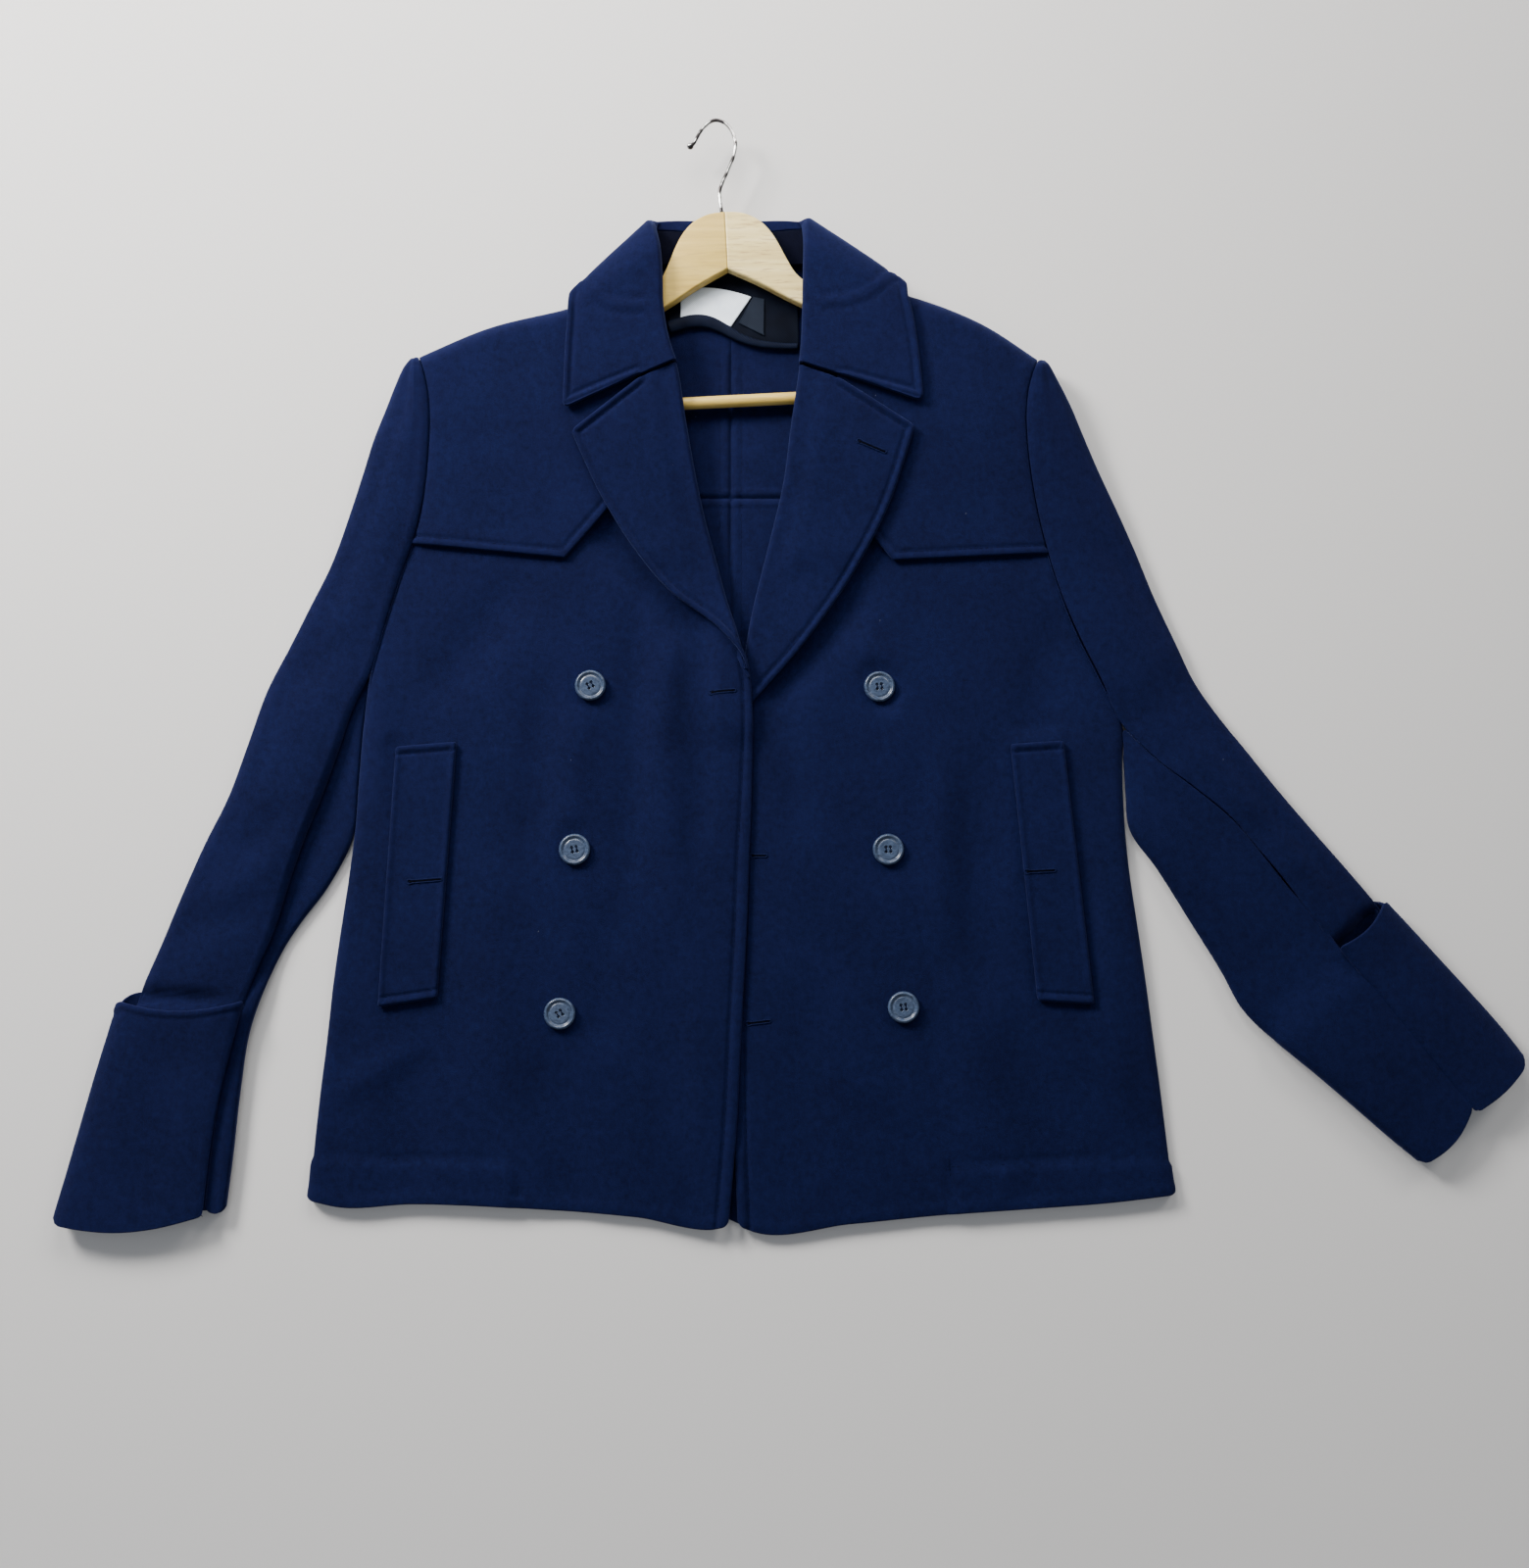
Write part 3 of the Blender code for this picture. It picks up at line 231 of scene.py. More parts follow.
def frontHeight(which, x, y):  # outer face of a front over the back, hanger and folds
    z = valueAt(frontRise, y) + creaseField(folds[which], x, y)
    if which == "right":
        over = smooth((x + 34.0) / 26.0) * smooth((520.0 - y) / 60.0)
        crossing = smooth((x + 42.0) / 42.0) * smooth((y - 378.0) / 28.0) * smooth((512.0 - y) / 60.0)
        z = z + (cloth["melton"] + 3 * cloth["seam"]) * over + cloth["crossing"] * crossing
    return z


# meshes
def normalsOf(grid):
    return unit(np.cross(np.gradient(grid, axis=1), np.gradient(grid, axis=0)))


def gridFaces(rows, cols, first=0, turned=False):
    r, c = np.meshgrid(np.arange(rows - 1), np.arange(cols - 1), indexing="ij")
    a = (r * cols + c).ravel() + first
    faces = np.stack([a, a + 1, a + cols + 1, a + cols], axis=1)
    return faces[:, ::-1] if turned else faces


def rings(rows, around, closed=False):  # faces round rings in a row, capped unless closed
    r, c = np.meshgrid(np.arange(rows if closed else rows - 1), np.arange(around), indexing="ij")
    r, c = r.ravel(), c.ravel()
    nextR, nextC = (r + 1) % rows, (c + 1) % around
    quads = np.stack([r * around + c, nextR * around + c, nextR * around + nextC, r * around + nextC], 1)
    ends = np.arange(around)[None]
    return [quads] if closed else [quads, ends, (rows - 1) * around + ends[:, ::-1]]


def meshPiece(name, points, faces, look, slot, replaces=()):
    # points in millimetres of the coat's frame; faces as a list of index arrays
    mesh = bpy.data.meshes.new(name)
    place = (np.asarray(points, float).reshape(-1, 3) - [*coatMiddle, 0.0]) * mm
    volume = sum((place[f[:, 0]] * np.cross(place[f[:, k]], place[f[:, k + 1]])).sum()
                 for f in faces for k in range(1, f.shape[1] - 1))
    if volume < 0:  # faces outwards
        faces = [f[:, ::-1] for f in faces]
    loops = np.concatenate([f.ravel() for f in faces])
    sizes = np.concatenate([np.full(len(f), f.shape[1]) for f in faces])
    starts = np.concatenate(([0], np.cumsum(sizes)[:-1]))
    mesh.vertices.add(len(place))
    mesh.vertices.foreach_set("co", place.astype(np.float32).ravel())
    mesh.loops.add(len(loops))
    mesh.loops.foreach_set("vertex_index", loops.astype(np.int32))
    mesh.polygons.add(len(sizes))
    mesh.polygons.foreach_set("loop_start", starts.astype(np.int32))
    mesh.update(calc_edges=True)
    mesh.validate()
    mesh.shade_smooth()
    mesh.materials.append(look)
    piece = bpy.data.objects.new(name, mesh)
    bpy.context.scene.collection.objects.link(piece)
    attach(piece, "root")
    if replaces:
        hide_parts(*replaces)
    return piece


def rimOutward(grid):  # unit directions along the cloth, out of the grid, at its rim
    away = np.zeros_like(grid)
    for axis in (0, 1):
        run = unit(np.gradient(grid, axis=axis))
        ends, lines = np.moveaxis(away, axis, 0), np.moveaxis(run, axis, 0)
        ends[0] -= lines[0]
        ends[-1] += lines[-1]
    return unit(away)


def roundCorners(grid, radius, corners=(1, 1, 1, 1)):
    # each corner square drawn onto a quarter disc: (p, q) * max(p, q) / hypot(p, q)
    grid = grid.copy()
    for which, wanted in enumerate(corners):
        if not wanted:
            continue
        g = grid[::-1] if which >= 2 else grid
        g = g[:, ::-1] if which % 2 else g
        gone = (np.cumsum(np.linalg.norm(np.diff(g, axis=k), axis=2), k) for k in (0, 1))
        p, q = (np.clip(radius - np.insert(run, 0, 0, k), 0, None) for k, run in enumerate(gone))
        share = 1 - np.maximum(p, q) / np.maximum(np.hypot(p, q), 1e-9)
        along, across = (unit(np.gradient(g, axis=k)) for k in (0, 1))
        g += (p * share)[..., None] * along + (q * share)[..., None] * across
    return grid


def roundFold(grid, radius, fold, other, end=-1):
    # a folded tube's end drawn back near the fold, d from its outline: r - sqrt(r * r - (r - d) ** 2)
    grid = grid.copy()
    g = grid[::-1] if end == 0 else grid
    across = unit(np.array(other, float) - fold)
    reach = g[..., :2] @ across
    outline = g[np.arange(len(g)), reach.argmin(axis=1), :2]
    along = unit(outline[-1] - outline[-10])
    d = np.minimum(reach - reach.min(axis=1, keepdims=True), radius)
    drawn = radius - np.sqrt(radius ** 2 - (radius - d) ** 2)
    gone = np.linalg.norm(outline - outline[-1], axis=1)
    g[..., :2] -= along * (drawn * smooth(1 - gone / (3.0 * radius))[:, None])[..., None]
    return grid


rimRound = 0.7  # how far a cut or folded edge bulges


def shell(name, outer, wall, look, slot, replaces=(), out=(0, 0, 1), inner=None, relief=0.0):
    # closed cloth: the outer grid, a second one a wall's depth inside, and a rim whose
    # section is half an ellipse: middle + half wall * cos(a) + bulge * sin(a)
    rows, cols = outer.shape[:2]
    normal = normalsOf(outer)
    turned = normal[rows // 2, cols // 2] @ np.array(out, float) < 0
    outward = -normal if turned else normal
    if inner is None:
        inner = outer - wall * outward
    away = rimOutward(outer)
    outer = outer + outward * np.broadcast_to(relief, (rows, cols))[..., None] - away * rimRound
    inner = inner - away * rimRound
    count = rows * cols
    index = np.arange(count).reshape(rows, cols)
    rim = np.concatenate([index[0, :-1], index[:-1, -1], index[-1, :0:-1], index[:0:-1, 0]])
    top, low = outer.reshape(-1, 3)[rim], inner.reshape(-1, 3)[rim]
    a = np.radians([45, 90, 135])[:, None, None]
    rings = (top + low) / 2 + (top - low) / 2 * np.cos(a) + away.reshape(-1, 3)[rim] * rimRound * np.sin(a)
    chain = [rim] + [2 * count + k * len(rim) + np.arange(len(rim)) for k in range(3)] + [rim + count]
    bands = [np.stack([np.roll(p, -1), p, q, np.roll(q, -1)], axis=1) for p, q in zip(chain, chain[1:])]
    faces = [np.concatenate([gridFaces(rows, cols), gridFaces(rows, cols, count, True)] + bands)]
    points = np.concatenate([outer.reshape(-1, 3), inner.reshape(-1, 3), rings.reshape(-1, 3)])
    points[:, 2] = np.maximum(points[:, 2], 0.0)  # flat on the floor
    return meshPiece(name, points, faces, look, slot, replaces)


def tube(path, radius, around=10, closed=False, height=None):
    # points and faces of a cord along a path: path + radius * across * cos(a) + height * up * sin(a)
    p = np.asarray(path, float)
    run = unit(np.roll(p, -1, 0) - np.roll(p, 1, 0) if closed else np.gradient(p, axis=0))
    across = unit(np.cross(run, [0.0, 0.0, 1.0]))
    up = np.cross(across, run)
    a = np.linspace(0, 2 * np.pi, around, endpoint=False)[None, :, None]
    wide, high = (np.broadcast_to(k, (len(p),))[:, None, None]
                  for k in (radius, radius if height is None else height))
    points = p[:, None] + wide * across[:, None] * np.cos(a) + high * up[:, None] * np.sin(a)
    return points.reshape(-1, 3), rings(len(p), around, closed)


def joined(parts):  # several (points, faces) made one
    points, faces, first = [], [], 0
    for p, runs in parts:
        points.append(p)
        faces += [f + first for f in runs]
        first += len(p)
    return np.concatenate(points), faces


def settle(path, grid, lift=0.0, nearest=4):  # height of a plan path on the upper face of a grid
    path = np.asarray(path, float)
    points = grid.reshape(-1, 3)
    points = points[np.abs(normalsOf(grid)[..., 2]).ravel() > 0.3]
    gap = np.hypot(path[:, None, 0] - points[None, :, 0], path[:, None, 1] - points[None, :, 1])
    near = np.argpartition(gap, nearest, axis=1)[:, :nearest]
    weight = 1 / (np.take_along_axis(gap, near, 1) + 0.05) ** 2
    z = (points[near, 2] * weight).sum(1) / weight.sum(1)
    return np.column_stack([path[:, :2], z + lift])


def inside(path, inset, toward):  # a plan path moved sideways by inset, to the side of a point
    p = np.asarray(path, float)[:, :2]
    run = np.gradient(p, axis=0)
    across = unit(np.stack([-run[:, 1], run[:, 0]], 1))
    across *= np.sign(np.sum((np.asarray(toward, float) - p) * across, axis=1))[:, None]
    return p + across * inset


sewing = {"length": 3.1, "gap": 1.3, "radius": 0.22, "sunk": 0.1, "turns": 6}
sewn = []  # every run of stitches, gathered for one piece of thread


def stitch(path):
    # capsules along a path: half length * cos(b) along it, radius * sin(b) ** 0.6 round it
    t = lengthsAlong(path)
    pitch, turns = sewing["length"] + sewing["gap"], sewing["turns"]
    at = (np.arange(max(int(t[-1] // pitch), 1)) + 0.5) * pitch
    middle, ahead = (np.stack([np.interp(k, t, path[:, axis]) for axis in range(3)], 1)
                     for k in (at, at + 1))
    run = unit(ahead - middle)
    across = unit(np.cross(run, [0.0, 0.0, 1.0]))
    up = np.cross(across, run)
    b = np.linspace(0.12, np.pi - 0.12, turns)[:, None]
    a = np.linspace(0, 2 * np.pi, turns, endpoint=False)
    wide = np.sin(b) ** 0.6 * sewing["radius"]
    local = np.stack([-np.cos(b) * sewing["length"] / 2 + 0 * a, wide * np.cos(a), wide * np.sin(a)], 2)
    points = np.einsum("mk,nkj->nmj", local.reshape(-1, 3), np.stack([run, across, up], 1))
    points += (middle - up * sewing["sunk"])[:, None]
    firsts = np.arange(len(at))[:, None, None] * turns ** 2
    faces = [(f + firsts).reshape(-1, f.shape[1]) for f in rings(turns, turns)]
    sewn.append((points.reshape(-1, 3), faces))


# finishes
def makeMaterial(name, colour, roughness, **sockets):
    made = bpy.data.materials.new(name)
    made.use_nodes = True
    shader = made.node_tree.nodes["Principled BSDF"]
    shader.inputs["Base Color"].default_value = (*colour, 1.0)
    shader.inputs["Roughness"].default_value = roughness
    for socket, value in sockets.items():
        shader.inputs[socket.replace("_", " ")].default_value = value
    return made


def addNode(material, kind, **inputs):
    made = material.node_tree.nodes.new("ShaderNode" + kind)
    for socket, value in inputs.items():
        feed(material, made.inputs[socket], value)
    return made


def feed(material, socket, value):  # a link, a colour or a plain value
    if hasattr(value, "is_linked"):
        material.node_tree.links.new(value, socket)
    elif hasattr(value, "__len__") and socket.type == "RGBA":
        socket.default_value = (*value, 1.0)
    else:
        socket.default_value = value


def objectPoints(material, scale=(1, 1, 1), turn=0):  # object coordinates, turned by degrees about z
    where = addNode(material, "TexCoord").outputs["Object"]
    return addNode(material, "Mapping", Vector=where, Scale=scale,
                   Rotation=(0, 0, math.radians(turn))).outputs["Vector"]


def noise(material, points, scale, detail=3.0, rough=0.5, twist=0.0):
    return addNode(material, "TexNoise", Vector=points, Scale=scale, Detail=detail,
                   Roughness=rough, Distortion=twist).outputs["Fac"]


def maths(material, kind, a, b):
    made = addNode(material, "Math")
    made.operation = kind
    for socket, value in zip(made.inputs, (a, b)):
        feed(material, socket, value)
    return made.outputs[0]


def weighted(material, *terms):  # sum of (value, weight) pairs
    total = maths(material, "MULTIPLY", *terms[0])
    for term in terms[1:]:
        total = maths(material, "ADD", total, maths(material, "MULTIPLY", *term))
    return total


def ramp(material, value, *stops):  # (place, colour) stops
    made = addNode(material, "ValToRGB", Fac=value)
    while len(made.color_ramp.elements) < len(stops):
        made.color_ramp.elements.new(0.5)
    for element, (place, colour) in zip(made.color_ramp.elements, stops):
        element.position = place
        element.color = (*colour, 1.0) if hasattr(colour, "__len__") else (colour,) * 3 + (1.0,)
    return made.outputs["Color"]


def blendColours(material, share, a, b):
    made = addNode(material, "Mix")
    made.data_type = "RGBA"
    for socket, value in ((made.inputs[0], share), (made.inputs[6], a), (made.inputs[7], b)):
        feed(material, socket, value)
    return made.outputs[2]


def connect(material, socket, value):
    material.node_tree.links.new(value, material.node_tree.nodes["Principled BSDF"].inputs[socket])


def addBump(material, height, strength, depth):
    made = addNode(material, "Bump", Strength=strength, Distance=depth, Height=height)
    connect(material, "Normal", made.outputs["Normal"])


wool = {
    "deep": (0.0014, 0.0026, 0.0165), "pile": (0.0056, 0.0083, 0.0465), "lint": (0.12, 0.14, 0.19),
    "sheen": 0.15, "sheenTint": (0.22, 0.30, 0.78, 1.0), "patch": 14.0, "mottle": 190.0, "fibre": 430.0,
    "lintCell": 60.0, "bump": 0.6, "bumpDepth": 0.0005,
}


def meltonWool(name="meltonWool", deep=None, pile=None):
    made = makeMaterial(name, wool["pile"], 0.92, Sheen_Weight=wool["sheen"], Sheen_Roughness=0.42,
                        Sheen_Tint=wool["sheenTint"], Specular_IOR_Level=0.06)
    points = objectPoints(made)
    patches = noise(made, points, wool["patch"], 4.0, 0.6)
    mottle = noise(made, points, wool["mottle"], 5.0, 0.65)
    # felted fibres: noise drawn out along two crossing directions, and a fine tooth
    layA = noise(made, objectPoints(made, (1, 0.4, 0.6), 24), wool["fibre"], 4.0, 0.7, 1.4)
    layB = noise(made, objectPoints(made, (0.45, 1, 0.6), -38), wool["fibre"] * 1.3, 4.0, 0.7, 1.4)
    tooth = noise(made, points, wool["fibre"] * 2.6, 3.0, 0.6)
    fibres = maths(made, "MAXIMUM", layA, layB)
    tone = weighted(made, (fibres, 0.45), (mottle, 0.30), (patches, 0.18))
    cloudy = ramp(made, tone, (0.36, deep or wool["deep"]), (0.66, pile or wool["pile"]))
    specks = addNode(made, "TexVoronoi", Scale=wool["lintCell"],
                     Vector=objectPoints(made, (1, 0.45, 1), 37)).outputs
    tiny = maths(made, "LESS_THAN", specks["Distance"], 0.016)
    few = addNode(made, "SeparateColor", Color=specks["Color"]).outputs[0]
    rare = maths(made, "GREATER_THAN", few, 0.80)
    lint = maths(made, "MULTIPLY", maths(made, "MULTIPLY", tiny, rare), 0.55)
    connect(made, "Base Color", blendColours(made, lint, cloudy, wool["lint"]))
    height = maths(made, "ADD", fibres, maths(made, "MULTIPLY", tooth, 0.6))
    addBump(made, height, wool["bump"], wool["bumpDepth"])
    return made


def sewingThread(name, dark, light):
    made = makeMaterial(name, light, 0.85, Specular_IOR_Level=0.05)
    twist = noise(made, objectPoints(made, turn=40), 3200.0, 2.0)
    connect(made, "Base Color", ramp(made, twist, (0.35, dark), (0.7, light)))
    addBump(made, twist, 0.5, 0.0002)
    return made


def wovenSatin(name, dark, light, roughness, pitch=1900.0, shine=0.22):
    # fine ribs of weave under a soft unevenness
    made = makeMaterial(name, light, roughness, Specular_IOR_Level=shine)
    points = objectPoints(made)
    wave = addNode(made, "TexWave", Scale=pitch / 6.28, Distortion=0.8, Vector=points)
    wave.bands_direction = "DIAGONAL"
    tone = weighted(made, (wave.outputs["Fac"], 0.35), (noise(made, points, 90.0, 4.0), 0.65))
    connect(made, "Base Color", ramp(made, tone, (0.3, dark), (0.7, light)))
    addBump(made, wave.outputs["Fac"], 0.25, 0.0002)
    return made


def slatePlastic():
    made = makeMaterial("slatePlastic", (0.030, 0.042, 0.070), 0.34, Coat_Weight=0.2, Coat_Roughness=0.2)
    swirl = noise(made, objectPoints(made, (1, 2.2, 1), 30), 120.0, 6.0, 0.6, 2.5)
    connect(made, "Base Color",
            ramp(made, swirl, (0.35, (0.016, 0.028, 0.058)), (0.65, (0.046, 0.072, 0.130))))
    wear = noise(made, objectPoints(made), 600.0, 4.0)
    connect(made, "Roughness", ramp(made, wear, (0.3, 0.24), (0.7, 0.42)))
    return made


def beech(name, dark, middle, pale, fleck=0.45):
    # long grain along the piece, with short darker flecks
    made = makeMaterial(name, middle, 0.5, Coat_Weight=0.12, Coat_Roughness=0.25, Specular_IOR_Level=0.3)
    grain = noise(made, objectPoints(made, (1.0, 14.0, 14.0)), 9.0, 7.0, 0.62, 0.8)
    flecks = noise(made, objectPoints(made, (6.0, 60.0, 60.0)), 11.0, 3.0, 0.55)
    body = ramp(made, grain, (0.28, dark), (0.5, middle), (0.75, pale))
    marks = ramp(made, flecks, (0.56, 0.0), (0.66, fleck))
    connect(made, "Base Color", blendColours(made, marks, body, (0.40, 0.23, 0.10)))
    addBump(made, grain, 0.12, 0.0004)
    return made


def brightSteel():
    made = makeMaterial("brightSteel", (0.62, 0.62, 0.63), 0.16, Metallic=1.0)
    rub = noise(made, objectPoints(made, (1, 0.2, 1)), 900.0, 4.0)
    connect(made, "Roughness", ramp(made, rub, (0.3, 0.10), (0.7, 0.26)))
    # colour in bands from near black to the steel's own grey: the dark bands are painted reflections
    reflectionBands = noise(made, objectPoints(made), 85.0)
    dark, bright = (0.46, (0.05, 0.045, 0.045)), (0.56, (0.62, 0.61, 0.60))
    connect(made, "Base Color", ramp(made, reflectionBands, dark, bright))
    return made


print("materials")
melton = meltonWool()
thread = sewingThread("sewingThread", (0.0008, 0.0016, 0.009), (0.0040, 0.0070, 0.032))
beadThread = sewingThread("beadThread", (0.0018, 0.0034, 0.018), (0.0070, 0.0115, 0.050))
# near-black cords for the buttonhole slits: painted shade inside the cut
slitPaintedShade = sewingThread("slitShade", (0.0003, 0.0004, 0.0012), (0.0008, 0.0010, 0.0030))
# a darker copy of the wool for the collar stand: painted shade of the collar and hanger over it
collarStandShadedWool = meltonWool("collarStandPaintedShade", (0.0006, 0.0008, 0.0040), (0.0020, 0.0026, 0.0110))
satin = wovenSatin("neckSatin", (0.0005, 0.0010, 0.0036), (0.0022, 0.0040, 0.0105), 0.6, shine=0.04)
whiteSatin = wovenSatin("labelSatin", (0.66, 0.74, 0.84), (0.84, 0.91, 0.97), 0.45, 2400.0)
greySatin = wovenSatin("sizeSatin", (0.007, 0.010, 0.018), (0.013, 0.018, 0.030), 0.6, 2400.0, 0.05)
piping = wovenSatin("pipingSatin", (0.0012, 0.0024, 0.0085), (0.0050, 0.0085, 0.0230), 0.6, shine=0.05)
plastic = slatePlastic()
steel = brightSteel()


# grids of the coat, from the hem up and from the side to the middle
def steps(length, startRound=0.0, endRound=0.0, coarse=4.0):
    # 0 to 1 along a side: steps of 1 mm at plain ends, even turns at rounded ones
    first, last = [r * (1 - np.cos(np.radians(np.arange(0, 90, 9.0)))) if r else np.arange(0, 14.0)
                   for r in (startRound, endRound)]
    begin, stop = startRound or 14.0, length - (endRound or 14.0)
    middle = np.linspace(begin, stop, max(int((stop - begin) / coarse), 2) + 1)
    return np.concatenate([first, middle, (length - last)[::-1]]) / length


def towardEnd(length=100.0, coarse=3.0):  # the same, with 1 mm steps at its end alone
    return np.concatenate([np.arange(0, length - 14.5, coarse), length - np.arange(14.0)[::-1]]) / length


def fromOutside(which, rows):
    return rows if which == "right" else rows[::-1]


def armhole(which):
    return [row[:2] for row in armholeRibs[which]]


def shoulderLine(which, u, endX):  # along the shoulder from its tip, up to a given x
    rows = fromOutside(which, shoulder[which])
    fine = np.linspace(0, 1, 401)
    reach = fine[np.argmin(np.abs(curveAt(rows, fine)[:, 0] - endX))]
    return curveAt(rows, u * reach)


def turnedDown(z, rim, across, top, plan, radius):
    # sides and shoulders fall as quarter circles: sqrt(1 - (1 - d / radius) ** 2)
    turn = np.sqrt(1 - (1 - np.clip(across / cloth["sideRound"], 0, 1)) ** 2)
    z = rim + (z - rim) * turn[None]
    drop = np.hypot(*(top[None] - plan).transpose(2, 0, 1))
    down = np.sqrt(1 - (1 - np.clip(drop / radius, 0, 1)) ** 2)
    seat = cloth["melton"] + cloth["seam"] + cloth["rimSpare"] + backLift(plan[..., 1])
    return seat + (z - seat) * down


def sewnEdge(distance, at=6.0, depth=1.15, puff=1.0, wide=2.1):
    # relief of a turned edge: a groove under its stitches and a soft roll outside them
    roll = 0.42 * at  # place and width of the roll
    return puff * bell(distance - roll, roll) - depth * bell(distance - at, wide)


def groove(x, y, path, depth=0.6, wide=1.4):
    return -depth * bell(distanceTo(x, y, np.array(path, float)), wide)


def sideLine(points, part, ends=None):  # x, y up a side that runs through points, at parts of its height
    rows = [(y, x) for x, y in points]
    low, high = ends or (rows[0][0], rows[-1][0])
    y = low + (high - low) * part
    return np.stack([valueAt(rows, y), y], axis=1)


def frontGrid(which):
    points = side[which] + armhole(which)[:-1] + [frontTip[which]]
    part = steps(points[-1][1] - points[0][1], 0.0, cloth["shoulderRound"])
    outer = sideLine(points, part)
    low, high = frontEdge[which][0][1], frontEdge[which][-1][1] - cloth["underFlap"]
    y = low + (high - low) * part
    sign, starts, over = (-1, 454, 40) if which == "right" else (1, 388, 26)
    inset = cloth["edgeInset"] * smooth((y - starts) / over) + cloth["cornerInset"] * smooth((y - 735) / 30)
    edge = np.stack([edgeX(which, y) + sign * inset, y], axis=1)
    u = steps(320.0, cloth["sideRound"])
    bottom = curveAt(fromOutside(which, hem[which]), u)
    top = shoulderLine(which, u, edge[-1, 0])
    top[:, 1] -= cloth["underFlap"]
    top[0], top[-1] = outer[-1], edge[-1]
    plan = patch(bottom, top, outer, edge, u, part)
    x, y = plan[..., 0], plan[..., 1]
    z = frontHeight(which, x, y)
    opening = 1 - smooth((outer[:, 1:] - side[which][-1][1]) / 50.0)
    rim = (opening * (cloth["melton"] + cloth["seam"] + cloth["rimSpare"])
           + (1 - opening) * (z[:, :1] - cloth["armholeDip"]))
    return np.dstack([x, y, turnedDown(z, rim, u * 320.0, top, plan, cloth["shoulderRound"])])


flap = {
    "right": {"low": [(-260.2, 551), (-135, 539), (-105, 574), (-72, 614)],
              "inner": [(-72, 614), (-77, 690), (-90, 765)]},
    "left": {"low": [(259.6, 543), (133, 537), (112, 562), (80, 612)],
             "inner": [(80, 612), (88, 690), (98, 774)]},
}


def flapGrid(which):
    low = flap[which]["low"]
    points = [low[0]] + [p for p in armhole(which) if p[1] > low[0][1] + 5] + [shoulderTip[which]]
    part = steps(points[-1][1] - points[0][1], 0.0, cloth["shoulderRound"])
    outer = sideLine(points, part)
    length = lengthsAlong(np.array(low, float))
    turn = steps(length[-1], cloth["sideRound"], 0.0, 3.0)
    u = np.sort(np.concatenate([turn, length[1:3] / length[-1]]))
    bottom = polylineAt(low, u)
    top = shoulderLine(which, u, flap[which]["inner"][-1][0])
    inner = curveAt(flap[which]["inner"], part)
    inner[-1] = top[-1]
    plan = patch(bottom, top, outer, inner, u, part)
    x, y = plan[..., 0], plan[..., 1]
    z = frontHeight(which, x, y) + cloth["lie"] + cloth["melton"]
    z = z + cloth["flapStand"] * smooth(1 - part[:, None] / 0.5) * smooth(u / 0.1)
    z = turnedDown(z, z[:, :1] - cloth["armholeDip"], u * length[-1], top, plan,
                   cloth["shoulderRound"] + cloth["melton"] + cloth["lie"])
    return np.dstack([x, y, z])


back = {"yokeSeam": 593.0, "hem": 11.0, "meet": 0.3,
        "neck": {"right": [(-56, 775), (-48, 783), (0, 789)], "left": [(60, 779), (48, 784), (0, 789)]}}


def pressedSeam(away):  # a dip at the join, a soft ridge each side, then the sewn line: three bell curves
    return 0.5 * bell(away - 5.0, 2.8) - 1.8 * bell(away, 1.7) - 0.2 * bell(away - 9.0, 1.3)


def backGrid(which, yoke):  # lower face of a back half, under or over the yoke seam
    points = side[which] + armhole(which) + [shoulderTip[which]]
    split = back["yokeSeam"] + (-back["meet"] if yoke else back["meet"])
    ends = (split, points[-1][1]) if yoke else (points[0][1], split)
    part = steps(ends[1] - ends[0], coarse=6.0)
    start = sideLine(points, part, ends)
    u = steps(290.0, coarse=6.0)
    middle = -signOf[which] * back["meet"]
    low, high = (split, back["neck"][which][-1][1]) if yoke else (back["hem"], split)
    end = np.stack([np.full(len(part), middle), low + (high - low) * part], axis=1)
    if yoke:
        top = curveAt(fromOutside(which, shoulder[which])[:-1] + back["neck"][which], u)
        bottom = polylineAt([start[0], end[0]], u)
    else:
        rows = np.array(fromOutside(which, hem[which]), float)
        bottom = curveAt(rows, u) + np.outer(u, [middle - rows[-1, 0], back["hem"] - rows[-1, 1]])
        top = polylineAt([start[-1], end[-1]], u)
    top[0], top[-1], bottom[0], bottom[-1] = start[-1], end[-1], start[0], end[0]
    plan = patch(bottom, top, start, end, u, part)
    return np.dstack([plan, backLift(plan[..., 1])])


lapel = {
    "right": {"roll": (446, 699), "edge": [(15, 444), (9, 459), (-6, 477), (-51, 513), (-103, 585),
                                           (-130, 642)],
              "notch": [(-40, 701), (-76, 685), (-130, 642)]},
    "left": {"roll": (418, 697), "edge": [(18, 420), (56, 463), (91, 511), (127, 576), (151, 646)],
             "notch": [(52, 699), (92, 684), (151, 646)]},
}


def rolled(inner, toward, up, half, topPoints, plan=cloth["rollPlan"]):
    # leg inside, then the roll: axis + toward * plan radius * cos(a) + up * half * sin(a)
    ribs = [inner - toward * cloth["leg"] * t - up * half for t in (1.0, 0.75, 0.5, 0.25)]
    for a in np.radians(np.linspace(-90, 90, 15))[:-1]:
        ribs.append(inner + toward * plan * math.cos(a) + up * half * math.sin(a))
    return np.concatenate([np.stack(ribs, axis=1), topPoints], axis=1)


